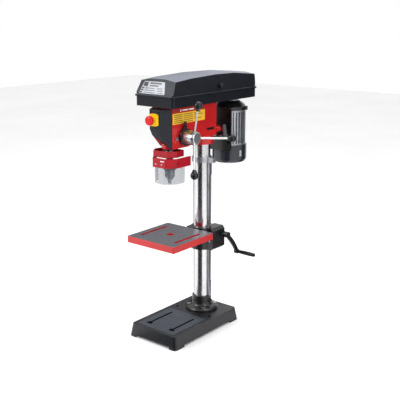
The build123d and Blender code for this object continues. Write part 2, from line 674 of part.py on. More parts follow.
START_Z, STOP_Z = SWITCH_Z + 8, SWITCH_Z - 8
with BuildPart() as switch_body:
    with BuildSketch(facing(-262)):
        with Locations((SWITCH_X, SWITCH_Z)):
            Rectangle(SWITCH_W, SWITCH_H)
    extrude(amount=-262 - SWITCH_FACE)
    with BuildSketch(facing(SWITCH_FACE + 8)):
        with Locations((SWITCH_X, START_Z), (SWITCH_X, STOP_Z)):
            Rectangle(20.8, 14.8)
    extrude(amount=20, mode=Mode.SUBTRACT)
switch_body.part.label = "switch_body"
export_step(switch_body.part, "parts/switch_body.step")


def push_button(z, stand_out):
    """Rocker key in its well, proud of the switch face."""
    with BuildPart() as key:
        with BuildSketch(facing(SWITCH_FACE + 4)):
            with Locations((SWITCH_X, z)):
                RectangleRounded(20, 14, 1.5)
        extrude(amount=4 + stand_out)
    return key.part


start_button = push_button(START_Z, 1.5)
start_button.label = "start_button"
export_step(start_button, "parts/start_button.step")
stop_button = push_button(STOP_Z, 3.0)
stop_button.label = "stop_button"
export_step(stop_button, "parts/stop_button.step")

FLAP_W, FLAP_H, FLAP_FACE = 37.0, 46.0, -305.0
FLAP_HINGE_Y, FLAP_HINGE_Z = PANEL_FRONT - 4.5, SWITCH_Z + FLAP_H / 2 - 1
FLAP_BARREL_R, FLAP_BARREL_L = 2.2, 22.0
with BuildPart() as switch_flap:
    with BuildSketch(facing(PANEL_FRONT - 1)):
        with Locations((SWITCH_X, SWITCH_Z)):
            RectangleRounded(FLAP_W, FLAP_H, 6)
    extrude(amount=PANEL_FRONT - 1 - FLAP_FACE)
    with BuildSketch(facing(PANEL_FRONT + 1)):
        with Locations((SWITCH_X, SWITCH_Z - 1)):
            Rectangle(FLAP_W - 4.5, FLAP_H - 5)
    extrude(amount=PANEL_FRONT + 1 - FLAP_FACE - 2.5, mode=Mode.SUBTRACT)
    with BuildSketch(facing(FLAP_FACE)):    # collar round the mushroom's stem
        with Locations((SWITCH_X, SWITCH_Z)):
            Circle(12)
    extrude(amount=1.5)
    with BuildSketch(facing(FLAP_FACE + 10)):
        with Locations((SWITCH_X, SWITCH_Z)):
            Circle(6.3)
    extrude(amount=20, mode=Mode.SUBTRACT)
    with BuildSketch(across(SWITCH_X - FLAP_BARREL_L / 2)):    # hinge barrel
        with Locations((FLAP_HINGE_Y, FLAP_HINGE_Z)):
            Circle(FLAP_BARREL_R)
    extrude(amount=FLAP_BARREL_L)
switch_flap.part.label = "switch_flap"
export_step(switch_flap.part, "parts/switch_flap.step")

MUSHROOM_BACK, MUSHROOM_FACE, MUSHROOM_R = -318.0, -331.0, 18.5
with BuildPart() as stop_mushroom:
    with BuildSketch(facing(-303)):
        with Locations((SWITCH_X, SWITCH_Z)):
            Circle(6)
    extrude(amount=-303 - MUSHROOM_BACK)
    with BuildSketch(facing(MUSHROOM_BACK)):
        with Locations((SWITCH_X, SWITCH_Z)):
            Circle(MUSHROOM_R)
    extrude(amount=MUSHROOM_BACK - MUSHROOM_FACE)
    fillet(stop_mushroom.edges().group_by(Axis.Y)[0], 6)
stop_mushroom.part.label = "stop_mushroom"
export_step(stop_mushroom.part, "parts/stop_mushroom.step")

# --- quill, spindle and chuck ----------------------------------------------------
JAW_ANGLES = (90, 210, 330)
QUILL_SPACE = math.pi * FEED_MODULE
SPINDLE_R, BEARING_R, BEARING_H = 8.5, 16.0, 11.0
quill_first = FEED_Z - 2 * QUILL_SPACE
with BuildPart() as quill:
    add(ring(QUILL_R, SPINDLE_R + 2, QUILL_LOW, QUILL_HIGH, y=SPINDLE_Y))
    with BuildSketch(Plane.XY.offset(QUILL_LOW)):    # bearing seats
        with Locations((0, SPINDLE_Y)):
            Circle(BEARING_R)
    extrude(amount=BEARING_H, mode=Mode.SUBTRACT)
    with BuildSketch(Plane.XY.offset(QUILL_HIGH - BEARING_H)):
        with Locations((0, SPINDLE_Y)):
            Circle(BEARING_R)
    extrude(amount=BEARING_H, mode=Mode.SUBTRACT)
    with BuildSketch(across(-14)):    # teeth along the back
        with BuildLine():
            Polyline(*saw_outline(QUILL_RACK_Y + 0.9 * FEED_MODULE, 3.2, quill_first, QUILL_SPACE, 17),
                     close=True)
        make_face()
        with Locations((QUILL_RACK_Y + 10 + 0.9 * FEED_MODULE, quill_first + 8 * QUILL_SPACE)):
            Rectangle(20, 18 * QUILL_SPACE)
    extrude(amount=28, mode=Mode.SUBTRACT)
quill.part.label = "quill"
export_step(quill.part, "parts/quill.step")

with BuildPart() as quill_bearings:
    add(ring(BEARING_R, SPINDLE_R + RUN, QUILL_LOW, QUILL_LOW + BEARING_H, y=SPINDLE_Y))
    add(ring(BEARING_R, SPINDLE_R + RUN, QUILL_HIGH - BEARING_H, QUILL_HIGH, y=SPINDLE_Y))
quill_bearings.part.label = "quill_bearings"
export_step(quill_bearings.part, "parts/quill_bearings.step")

CHUCK_TOP, CHUCK_FLANGE, CHUCK_NOSE = 750.0, 742.0, 672.0
SLEEVE_LOW, SLEEVE_HIGH, SLEEVE_R = 709.0, 740.0, 26.0
with BuildPart() as spindle:
    with BuildSketch(Plane(origin=(0, SPINDLE_Y, 0), x_dir=(1, 0, 0), z_dir=(0, -1, 0))):
        with BuildLine():
            Polyline((0, 728), (7.4, 728), (8, CHUCK_TOP + 2), (14, CHUCK_TOP + 3), (14, QUILL_LOW - 2),
                     (SPINDLE_R, QUILL_LOW - 2), (SPINDLE_R, 1046), (0, 1046), close=True)
        make_face()
    revolve(axis=Axis((0, SPINDLE_Y, 0), (0, 0, 1)))
spindle.part.label = "spindle"
export_step(spindle.part, "parts/spindle.step")

JAW_TILT, JAW_R, JAW_OFF = 10.0, 4.6, 6.0


def spoke_plane(turn, z):
    """Plane through the spindle's axis, facing out at the given angle."""
    a = math.radians(turn)
    return Plane(origin=(0, SPINDLE_Y, z), x_dir=(0, 0, 1), z_dir=(math.cos(a), math.sin(a), 0))


def jaw_plane(turn):
    """Plane across a jaw's sloping axis, at the chuck's nose."""
    a, t = math.radians(turn), math.radians(JAW_TILT)
    outward = Vector(math.cos(a), math.sin(a), 0)
    along = outward * math.sin(t) + Vector(0, 0, math.cos(t))
    side = Vector(-math.sin(a), math.cos(a), 0)
    origin = Vector(0, SPINDLE_Y, CHUCK_NOSE) + outward * JAW_OFF
    return Plane(origin=origin, x_dir=side, z_dir=along)


with BuildPart() as chuck_body:
    with BuildSketch(Plane(origin=(0, SPINDLE_Y, 0), x_dir=(1, 0, 0), z_dir=(0, -1, 0))):
        with BuildLine():
            Polyline((0, CHUCK_NOSE), (12, CHUCK_NOSE), (20, 684), (20, SLEEVE_LOW), (22, SLEEVE_LOW + 1),
                     (22, CHUCK_FLANGE), (19, CHUCK_TOP), (8, CHUCK_TOP), (7.4, 728), (0, 728), close=True)
        make_face()
    revolve(axis=Axis((0, SPINDLE_Y, 0), (0, 0, 1)))
    for turn in JAW_ANGLES:
        with BuildSketch(jaw_plane(turn).offset(-8)):
            Circle(JAW_R + 0.1)
        extrude(amount=8 + 58, mode=Mode.SUBTRACT)
    for turn in (-90, 30, 150):    # key holes round the body
        with BuildSketch(spoke_plane(turn, 694).offset(13)):
            Circle(3.6)
        extrude(amount=10, mode=Mode.SUBTRACT)
chuck_body.part.label = "chuck_body"
export_step(chuck_body.part, "parts/chuck_body.step")

with BuildPart() as chuck_sleeve:
    add(ring(SLEEVE_R, 22 + RUN, SLEEVE_LOW + 1.2, SLEEVE_HIGH, y=SPINDLE_Y))
    top_rims = chuck_sleeve.edges().filter_by(GeomType.CIRCLE).group_by(Axis.Z)[-1]
    chamfer(top_rims.sort_by(SortBy.RADIUS)[-1], 1.5)
chuck_sleeve.part.label = "chuck_sleeve"
export_step(chuck_sleeve.part, "parts/chuck_sleeve.step")

for number, turn in enumerate(JAW_ANGLES, start=1):
    with BuildPart() as chuck_jaw:
        with BuildSketch(jaw_plane(turn).offset(-17.5)):
            Circle(JAW_R)
        extrude(amount=17.5 + 40)
        a = math.radians(turn)
        wedge = Plane(origin=(0, SPINDLE_Y, 640), x_dir=(math.cos(a), math.sin(a), 0), z_dir=(0, 0, 1))
        with BuildSketch(wedge):    # the third of the circle that the other jaws leave
            with BuildLine():
                Polyline((0.6, 0), (40.6, 69.3), (40.6, -69.3), close=True)
            make_face()
        extrude(amount=100, mode=Mode.INTERSECT)
    chuck_jaw.part.label = f"chuck_jaw_{number}"
    export_step(chuck_jaw.part, f"parts/chuck_jaw_{number}.step")

# --- chuck guard -----------------------------------------------------------------
GUARD_PIN_X, GUARD_PIN_Y, GUARD_PIN_R = -69.0, -214.0, 3.0
CLAMP_LOW, CLAMP_HIGH = 768.0, 793.0
SHIELD_R, SHIELD_WALL, SHIELD_LOW, SHIELD_HIGH = 60.0, 2.0, 662.0, 750.0
FRAME_LOW, FRAME_HIGH = 728.0, 766.0
CLAMP_OUTLINE = ((-60, -226), (-38, -260), (34, -260), (55, -224), (50, -176), (-50, -176))
FRAME_OUTLINE = ((-70, -213), (-68, -224), (-34, -268.5), (30, -268.5), (64, -236), (64, -150))
with BuildPart() as guard_clamp:
    with BuildSketch(Plane.XY.offset(CLAMP_LOW)):
        with BuildLine():
            Polyline(*CLAMP_OUTLINE, close=True)
        make_face()
    extrude(amount=CLAMP_HIGH - CLAMP_LOW)
    with BuildSketch(Plane.XY.offset(CLAMP_LOW + 4)):
        with BuildLine():
            Polyline(*CLAMP_OUTLINE, close=True)
        make_face()
        offset(amount=-3.5, kind=Kind.INTERSECTION)
    extrude(amount=40, mode=Mode.SUBTRACT)
    with BuildSketch(Plane.XY.offset(CLAMP_LOW)):    # ring that grips the quill
        with Locations((0, SPINDLE_Y)):
            Circle(28)
    extrude(amount=20)
    with BuildSketch(Plane.XY.offset(CLAMP_LOW)):    # eye of the guard's pin
        with Locations((GUARD_PIN_X, GUARD_PIN_Y)):
            Circle(6)
        with Locations(((GUARD_PIN_X - 56) / 2, GUARD_PIN_Y)):
            Rectangle(56 + GUARD_PIN_X + 26, 8)
    extrude(amount=14)
    with BuildSketch(Plane.XY.offset(FRAME_LOW - 1)):
        with Locations((GUARD_PIN_X, GUARD_PIN_Y)):
            Circle(GUARD_PIN_R)
    extrude(amount=CLAMP_LOW - FRAME_LOW + 2)
    with BuildSketch(Plane.XY.offset(CLAMP_LOW - 1)):
        with Locations((0, SPINDLE_Y)):
            Circle(QUILL_R)
    extrude(amount=60, mode=Mode.SUBTRACT)
guard_clamp.part.label = "guard_clamp"
export_step(guard_clamp.part, "parts/guard_clamp.step")

with BuildPart() as guard_frame:
    with BuildSketch(Plane.XY.offset(FRAME_LOW)):
        with BuildLine():
            Polyline(*FRAME_OUTLINE)
            offset(amount=3, side=Side.LEFT, kind=Kind.INTERSECTION)
        make_face()
        with Locations((GUARD_PIN_X, GUARD_PIN_Y)):
            Circle(6)
    extrude(amount=FRAME_HIGH - FRAME_LOW)
    with BuildSketch(Plane.XY.offset(FRAME_LOW - 1)):
        with Locations((GUARD_PIN_X, GUARD_PIN_Y)):
            Circle(GUARD_PIN_R + RUN)
    extrude(amount=80, mode=Mode.SUBTRACT)
    with BuildSketch(facing(-240)):    # adjusting slot
        with Locations((16, 754)):
            SlotOverall(26, 5)
    extrude(amount=40, mode=Mode.SUBTRACT)
guard_frame.part.label = "guard_frame"
export_step(guard_frame.part, "parts/guard_frame.step")

with BuildPart() as guard_shield:
    with BuildSketch(Plane.XY.offset(SHIELD_LOW)):
        with Locations((0, SPINDLE_Y)):
            Circle(SHIELD_R)
            Circle(SHIELD_R - SHIELD_WALL, mode=Mode.SUBTRACT)
        with BuildLine():    # open at the back and beside the pin
            Polyline((0, SPINDLE_Y), (-100, SPINDLE_Y - 8), (-100, 0), (100, 0), (56, -158), close=True)
        make_face(mode=Mode.SUBTRACT)
    extrude(amount=SHIELD_HIGH - SHIELD_LOW)
guard_shield.part.label = "guard_shield"
export_step(guard_shield.part, "parts/guard_shield.step")

# --- feed: shaft, hub, levers, depth ring, return spring ---------------------------
feed_axis = Axis((0, FEED_Y, FEED_Z), (1, 0, 0))
feed_plane = Plane(origin=(0, FEED_Y, FEED_Z), x_dir=(1, 0, 0), z_dir=(0, -1, 0))
CAP_OUT = -HEAD_HALF - 26.0
with BuildPart() as feed_shaft:
    with BuildSketch(across(CAP_OUT + 6)):
        with Locations((FEED_Y, FEED_Z)):
            Circle(12)
    extrude(amount=HUB_OUT - 8 - CAP_OUT - 6)
    with BuildSketch(across(-13, FEED_Y, FEED_Z)):    # the pinion's teeth are cut in the shaft
        Circle(14)
        with BuildLine():
            Polyline(*gear_outline(FEED_MODULE, FEED_TEETH), close=True)
        make_face(mode=Mode.SUBTRACT)
    extrude(amount=26, mode=Mode.SUBTRACT)
feed_shaft.part.label = "feed_shaft"
export_step(feed_shaft.part, "parts/feed_shaft.step")

with BuildPart() as feed_hub:
    with BuildSketch(feed_plane):
        with BuildLine():
            Polyline((HUB_IN, 12), (HUB_IN, HUB_R), (HUB_OUT - 14, HUB_R), (HUB_OUT - 2, HUB_R - 4),
                     (HUB_OUT, HUB_R - 7), (HUB_OUT, 0), (HUB_OUT - 8, 0), (HUB_OUT - 8, 12), close=True)
        make_face()
    revolve(axis=feed_axis)
feed_hub.part.label = "feed_hub"
export_step(feed_hub.part, "parts/feed_hub.step")


LEVER_R = 4.3


def lever_plane(angle):
    """Plane square to a feed lever, where its axis meets the hub's axis."""
    a, cone = math.radians(angle), math.radians(LEVER_CONE)
    radial = Vector(0, math.sin(a), math.cos(a))
    along = radial * math.cos(cone) + Vector(math.sin(cone), 0, 0)
    side = Vector(0, math.cos(a), -math.sin(a))
    return Plane(origin=(LEVER_ROOT_X, FEED_Y, FEED_Z), x_dir=side, z_dir=along)


with BuildPart() as feed_levers:
    for angle in LEVER_ANGLES:
        with BuildSketch(lever_plane(angle)):
            Circle(LEVER_R)
        extrude(amount=LEVER_LENGTH - 12)
    with BuildSketch(feed_plane):    # the rods start at the hub's surface
        with BuildLine():
            Polyline((HUB_IN, 0), (HUB_IN, HUB_R), (HUB_OUT - 14, HUB_R), (HUB_OUT - 2, HUB_R - 4),
                     (HUB_OUT, HUB_R - 7), (HUB_OUT, 0), close=True)
        make_face()
    revolve(axis=feed_axis, mode=Mode.SUBTRACT)
feed_levers.part.label = "feed_levers"
export_step(feed_levers.part, "parts/feed_levers.step")


def lever_knob(angle):
    """Pear-shaped knob on the end of one feed lever."""
    frame = lever_plane(angle)
    section = Plane(origin=frame.origin, x_dir=frame.z_dir, z_dir=frame.y_dir)
    start = LEVER_LENGTH - 24
    with BuildPart() as knob:
        with BuildSketch(section):
            with BuildLine():
                Line((start + 12, 0), (start + 12, LEVER_R))
                Line((start + 12, LEVER_R), (start, LEVER_R))
                Line((start, LEVER_R), (start, 8))
                Spline((start, 8), (start + 10, 11.5), (start + 22, 16), (start + 38, 0),
                       tangents=((1, 0.2), (0, -1)))
                Line((start + 38, 0), (start + 12, 0))
            make_face()
        revolve(axis=Axis(frame.origin, frame.z_dir))
    return knob.part


with BuildPart() as feed_knobs:
    for angle in LEVER_ANGLES:
        add(lever_knob(angle))
feed_knobs.part.label = "feed_knobs"
export_step(feed_knobs.part, "parts/feed_knobs.step")

RING_IN, RING_OUT, RING_R = 53.5, 65.6, 34.0
with BuildPart() as depth_ring:
    with BuildSketch(across(RING_IN)):
        with Locations((FEED_Y, FEED_Z)):
            Circle(RING_R)
            Circle(12 + RUN, mode=Mode.SUBTRACT)
    extrude(amount=RING_OUT - RING_IN)
depth_ring.part.label = "depth_ring"
export_step(depth_ring.part, "parts/depth_ring.step")

LOCK_ANGLE = -3.0
LOCK_X = RING_OUT - 4.0    # clear of the stop screw's head
with BuildPart() as depth_lock:
    lock = Plane(origin=(LOCK_X, FEED_Y, FEED_Z), x_dir=(1, 0, 0),
                 z_dir=(0, math.sin(math.radians(LOCK_ANGLE)), math.cos(math.radians(LOCK_ANGLE))))
    with BuildSketch(lock.offset(RING_R - 2)):
        Circle(3.5)
    extrude(amount=10)
    with BuildSketch(lock.offset(RING_R + 2)):
        Ellipse(3.6, 9)
    with BuildSketch(lock.offset(RING_R + 26)):
        Ellipse(3.2, 7)
    loft()
    with BuildSketch(across(0)):
        with Locations((FEED_Y, FEED_Z)):
            Circle(RING_R)
    extrude(amount=100, mode=Mode.SUBTRACT)
depth_lock.part.label = "depth_lock"
export_step(depth_lock.part, "parts/depth_lock.step")

with BuildPart() as spring_cap:
    with BuildSketch(feed_plane):
        with BuildLine():
            Polyline((-HEAD_HALF, 30), (CAP_OUT + 4, 30), (CAP_OUT, 26), (CAP_OUT, 0), (CAP_OUT + 3, 0),
                     (CAP_OUT + 3, 27), (-HEAD_HALF, 27), close=True)
        make_face()
    revolve(axis=feed_axis)
spring_cap.part.label = "spring_cap"
export_step(spring_cap.part, "parts/spring_cap.step")

with BuildPart() as return_spring:    # flat clock spring, drawn as its closed turns
    with BuildSketch(across(-HEAD_HALF - 16)):
        with Locations((FEED_Y, FEED_Z)):
            for r in (15, 18, 21, 24):
                Circle(r + 0.8)
                Circle(r, mode=Mode.SUBTRACT)
        with Locations((FEED_Y, FEED_Z + 20), (FEED_Y, FEED_Z - 20)):    # joins of the turns
            Rectangle(1.0, 9.6)
    extrude(amount=12)
return_spring.part.label = "return_spring"
export_step(return_spring.part, "parts/return_spring.step")

# --- belt cover: fixed tray and hinged lid ------------------------------------------
COVER_MID = (COVER_FRONT + COVER_BACK) / 2
COVER_LENGTH = COVER_BACK - COVER_FRONT
HINGE_X, HINGE_Z = -COVER_HALF - RIM - 4.4, LID_LOW + 1.0
HINGE_SPOTS = (-180.0, 140.0)
KNUCKLE_R, KNUCKLE_L, PIN_R = 4.0, 24.0, 1.8
with BuildPart() as belt_tray:
    with BuildSketch(Plane.XY.offset(TRAY_LOW)):
        with Locations((0, COVER_MID)):
            RectangleRounded(2 * COVER_HALF, COVER_LENGTH, 12)
    extrude(amount=TRAY_HIGH - TRAY_LOW)
    with BuildSketch(Plane.XY.offset(TRAY_HIGH - 3)):    # rim
        with Locations((0, COVER_MID)):
            RectangleRounded(2 * (COVER_HALF + RIM), COVER_LENGTH + 2 * RIM, 15)
    extrude(amount=3)
    with BuildSketch(Plane.XY.offset(TRAY_LOW + COVER_WALL)):
        with Locations((0, COVER_MID)):
            RectangleRounded(2 * (COVER_HALF - COVER_WALL), COVER_LENGTH - 2 * COVER_WALL, 9)
    extrude(amount=80, mode=Mode.SUBTRACT)
    with BuildSketch(Plane.XY.offset(TRAY_LOW - 1)):    # ways for the spindle, pivot and motor
        with Locations((0, SPINDLE_Y)):
            Circle(27)
        with Locations((PIVOT_X, PIVOT_Y)):
            Circle(9)
        with Locations((0, MOTOR_Y - 6)):
            SlotOverall(62, 44, rotation=90)
    extrude(amount=10, mode=Mode.SUBTRACT)
    for spot in HINGE_SPOTS:    # outer knuckles and the hinge pins
        for end in (-1, 1):
            with BuildSketch(facing(spot + end * KNUCKLE_L + KNUCKLE_L / 2, HINGE_X, HINGE_Z)):
                Circle(KNUCKLE_R)
                with Locations((3, -2.7)):
                    Rectangle(6, 2.8)
            extrude(amount=KNUCKLE_L)
        with BuildSketch(facing(spot + 1.5 * KNUCKLE_L, HINGE_X, HINGE_Z)):
            Circle(PIN_R)
        extrude(amount=3 * KNUCKLE_L)
belt_tray.part.label = "belt_tray"
export_step(belt_tray.part, "parts/belt_tray.step")

LID_STATIONS = (    # y, edge height, ridge height
    (COVER_FRONT, 1013.0, 1013.5), (-266.0, 1067.0, 1075.0), (-179.0, 1074.5, 1081.0),
    (-19.0, 1081.0, 1086.0), (105.0, 1079.5, 1085.0), (COVER_BACK, 1066.0, 1073.0),
)


def lid_section(y, edge, ridge, inset, low):
    """Cross-section of the lid at one place along its length."""
    half = COVER_HALF - inset
    lean = 12.0 * (edge - LID_LOW) / 70.0
    with BuildSketch(facing(y)) as section:
        with BuildLine():
            Polyline((-half, low), (-half + lean, edge - inset), (-38, ridge - inset),
                     (38, ridge - inset), (half - lean, edge - inset), (half, low), close=True)
        make_face()
    return section.sketch


def lid_block(inset, low):
    """Faceted block of the lid's outside, or of its inside when inset."""
    last = len(LID_STATIONS) - 1
    faces = []
    for n, (y, edge, ridge) in enumerate(LID_STATIONS):
        shift = inset if n == 0 else -inset if n == last else 0.0
        grow = 2.5 * inset if n == 0 else 0.0
        faces.append(lid_section(y + shift + 0.35 * inset * (n == 1), edge + grow, ridge + grow, inset, low))
    with BuildPart() as block:
        loft(faces, ruled=True)
    return block.part


with BuildPart() as lid:
    add(lid_block(0.0, LID_LOW))
    with BuildSketch(Plane.XY.offset(LID_LOW)):    # round the upright corners
        with Locations((0, COVER_MID)):
            RectangleRounded(2 * COVER_HALF, COVER_LENGTH, 12)
    extrude(amount=90, mode=Mode.INTERSECT)
    add(lid_block(COVER_WALL, LID_LOW - 1), mode=Mode.SUBTRACT)
    with BuildSketch(Plane.XY.offset(LID_LOW)):    # rim
        with Locations((0, COVER_MID)):
            RectangleRounded(2 * (COVER_HALF + RIM), COVER_LENGTH + 2 * RIM, 15)
            RectangleRounded(2 * (COVER_HALF - COVER_WALL), COVER_LENGTH - 2 * COVER_WALL, 9,
                             mode=Mode.SUBTRACT)
    extrude(amount=2.5)
    for spot in HINGE_SPOTS:    # notches for the tray's knuckles, and the lid's own
        with BuildSketch(facing(spot + 1.5 * KNUCKLE_L + 1, HINGE_X, HINGE_Z)):
            Circle(KNUCKLE_R + 1)
        extrude(amount=3 * KNUCKLE_L + 2, mode=Mode.SUBTRACT)
        with BuildSketch(facing(spot + KNUCKLE_L / 2 - 0.5, HINGE_X, HINGE_Z)):
            Circle(KNUCKLE_R)
            with Locations((5, 1.2)):
                Rectangle(8, 2.4)
            Circle(PIN_R + RUN, mode=Mode.SUBTRACT)
        extrude(amount=KNUCKLE_L - 1)
lid.part.label = "lid"
export_step(lid.part, "parts/lid.step")

# --- belt drive -----------------------------------------------------------------
SLEEVE_BORE = SPINDLE_R + RUN
CONE_HIGH = CONE_LOW + CONE_STEP * len(SPINDLE_CONE)
with BuildPart() as spindle_pulley:
    add(cone_pulley(SPINDLE_CONE, SLEEVE_BORE, SPINDLE_Y, CONE_LOW))
    add(ring(12, SLEEVE_BORE, HEAD_TOP - 25, CONE_LOW, y=SPINDLE_Y))
spindle_pulley.part.label = "spindle_pulley"
export_step(spindle_pulley.part, "parts/spindle_pulley.step")

with BuildPart() as pulley_bearings:
    for low in (HEAD_TOP - 26, HEAD_TOP - 13):
        add(ring(26, 12 + RUN, low, low + 11, y=SPINDLE_Y))
pulley_bearings.part.label = "pulley_bearings"
export_step(pulley_bearings.part, "parts/pulley_bearings.step")

ARM_LOW, ARM_T, POST_R = 974.0, 5.0, 7.0
with BuildPart() as idler_arm:
    with BuildSketch(Plane.XY.offset(ARM_LOW)):
        with BuildLine():
            Polyline((PIVOT_X, PIVOT_Y), (0, IDLER_Y))
            offset(amount=11)
        make_face()
    extrude(amount=ARM_T)
    with BuildSketch(Plane.XY.offset(905)):
        with Locations((PIVOT_X, PIVOT_Y)):
            Circle(POST_R)
    extrude(amount=ARM_LOW - 905)
    with BuildSketch(Plane.XY.offset(ARM_LOW + ARM_T)):
        with Locations((0, IDLER_Y)):
            Circle(POST_R)
    extrude(amount=CONE_HIGH - ARM_LOW)
idler_arm.part.label = "idler_arm"
export_step(idler_arm.part, "parts/idler_arm.step")

with BuildPart() as idler_pulley:
    add(cone_pulley(IDLER_CONE, POST_R + RUN, IDLER_Y, CONE_LOW))
idler_pulley.part.label = "idler_pulley"
export_step(idler_pulley.part, "parts/idler_pulley.step")

SHAFT_R = 9.5
with BuildPart() as motor_pulley:
    add(cone_pulley(MOTOR_CONE, SHAFT_R, MOTOR_Y, CONE_LOW))
motor_pulley.part.label = "motor_pulley"
export_step(motor_pulley.part, "parts/motor_pulley.step")

BELT_LIFT = 4.0
front_z = CONE_LOW + FRONT_STEP * CONE_STEP + BELT_LIFT
front_belt = belt(SPINDLE_Y, SPINDLE_CONE[FRONT_STEP] - GROOVE, IDLER_Y,
                  IDLER_CONE[FRONT_STEP] - GROOVE, front_z)
front_belt.label = "front_belt"
export_step(front_belt, "parts/front_belt.step")
rear_z = CONE_LOW + REAR_STEP * CONE_STEP + BELT_LIFT
rear_belt = belt(IDLER_Y, IDLER_CONE[REAR_STEP] - GROOVE, MOTOR_Y,
                 MOTOR_CONE[REAR_STEP] - GROOVE, rear_z)
rear_belt.label = "rear_belt"
export_step(rear_belt, "parts/rear_belt.step")

# --- motor and its sliding mount -----------------------------------------------------
motor_plane = Plane(origin=(0, MOTOR_Y, 0), x_dir=(1, 0, 0), z_dir=(0, -1, 0))
motor_axis = Axis((0, MOTOR_Y, 0), (0, 0, 1))
CAM_AXIS_Y, CAM_R = 80.0, 5.0
with BuildPart() as motor_plate:
    with BuildSketch(facing(PLATE_Y + PLATE_T)):
        with Locations((0, (PLATE_LOW + PLATE_HIGH) / 2)):
            RectangleRounded(2 * PLATE_HALF, PLATE_HIGH - PLATE_LOW, 8)
    extrude(amount=PLATE_T)
    with BuildSketch(facing(PLATE_Y + PLATE_T)):    # slide rods
        with Locations((-ROD_X, ROD_Z), (ROD_X, ROD_Z)):
            Circle(ROD_R)
    extrude(amount=PLATE_T + PLATE_Y - 49)
    for x in (22, -30):    # lugs of the tension shaft
        with BuildSketch(across(x, CAM_AXIS_Y, ROD_Z - 34)):
            SlotOverall(22, 18, rotation=90)
            with Locations((11, 0)):
                Rectangle(16, 18)
        extrude(amount=8)
        with BuildSketch(across(x - 1, CAM_AXIS_Y, ROD_Z - 34)):
            Circle(CAM_R + RUN)
        extrude(amount=10, mode=Mode.SUBTRACT)
motor_plate.part.label = "motor_plate"
export_step(motor_plate.part, "parts/motor_plate.step")

LEVER_IN = 58.0
with BuildPart() as tension_lever:
    with BuildSketch(across(-32, CAM_AXIS_Y, ROD_Z - 34)):
        Circle(CAM_R)
    extrude(amount=LEVER_IN + 40)
    with BuildSketch(across(LEVER_IN, CAM_AXIS_Y, ROD_Z - 34)):
        Circle(12)
    extrude(amount=9)
    with BuildSketch(across(LEVER_IN + 1, CAM_AXIS_Y, ROD_Z - 34)):
        with Locations((-6, 24)):
            SlotOverall(58, 18, rotation=104)
    extrude(amount=7)
tension_lever.part.label = "tension_lever"
export_step(tension_lever.part, "parts/tension_lever.step")

FIN_COUNT, FIN_DEPTH, FIN_W = 30, 7.0, 5.0
STATOR_IN, BORE_R = 38.6, 59.0
with BuildPart() as motor_shell:
    with BuildSketch(Plane.XY.offset(SHELL_LOW)):
        with Locations((0, MOTOR_Y)):
            Circle(MOTOR_R - FIN_DEPTH)
            with PolarLocations(MOTOR_R - FIN_DEPTH / 2, FIN_COUNT):
                Rectangle(FIN_DEPTH + 2, FIN_W)
            Circle(BORE_R, mode=Mode.SUBTRACT)
    extrude(amount=SHELL_HIGH - SHELL_LOW)
    for low in (SHELL_LOW, SHELL_HIGH - 8):    # plain rings at both ends
        with BuildSketch(Plane.XY.offset(low)):
            with Locations((0, MOTOR_Y)):
                Circle(MOTOR_R)
                Circle(BORE_R, mode=Mode.SUBTRACT)
        extrude(amount=8)
    for z in (PLATE_LOW + 40, PLATE_HIGH - 45):    # feet on the plate
        with BuildSketch(facing(PLATE_Y + PLATE_T + 30, z=z)):
            Rectangle(92, 20)
        extrude(amount=30)
    with BuildSketch(Plane.XY.offset(SHELL_LOW)):
        with Locations((0, MOTOR_Y)):
            Circle(BORE_R)
    extrude(amount=SHELL_HIGH - SHELL_LOW, mode=Mode.SUBTRACT)
motor_shell.part.label = "motor_shell"
export_step(motor_shell.part, "parts/motor_shell.step")

with BuildPart() as motor_bell:
    with BuildSketch(motor_plane):
        with BuildLine():
            Polyline((10, SHELL_HIGH), (MOTOR_R + 2, SHELL_HIGH), (MOTOR_R + 2, SHELL_HIGH + 14),
                     (MOTOR_R - 8, SHELL_HIGH + 26), (40, BELL_HIGH), (10, BELL_HIGH), close=True)
        make_face()
        with BuildLine():
            Polyline((10, SHELL_HIGH), (MOTOR_R - 6, SHELL_HIGH), (MOTOR_R - 8, SHELL_HIGH + 12),
                     (38, BELL_HIGH - 6), (20, BELL_HIGH - 6), (20, SHELL_HIGH + 14),
                     (10, SHELL_HIGH + 14), close=True)
        make_face(mode=Mode.SUBTRACT)
    revolve(axis=motor_axis)
    with BuildSketch(Plane.XY.offset(SHELL_HIGH)):    # ears of the through bolts
        with Locations((0, MOTOR_Y)):
            with PolarLocations(MOTOR_R + 4, 4, start_angle=20):
                Circle(8)
            Circle(MOTOR_R - 2, mode=Mode.SUBTRACT)
    extrude(amount=16)
motor_bell.part.label = "motor_bell"
export_step(motor_bell.part, "parts/motor_bell.step")

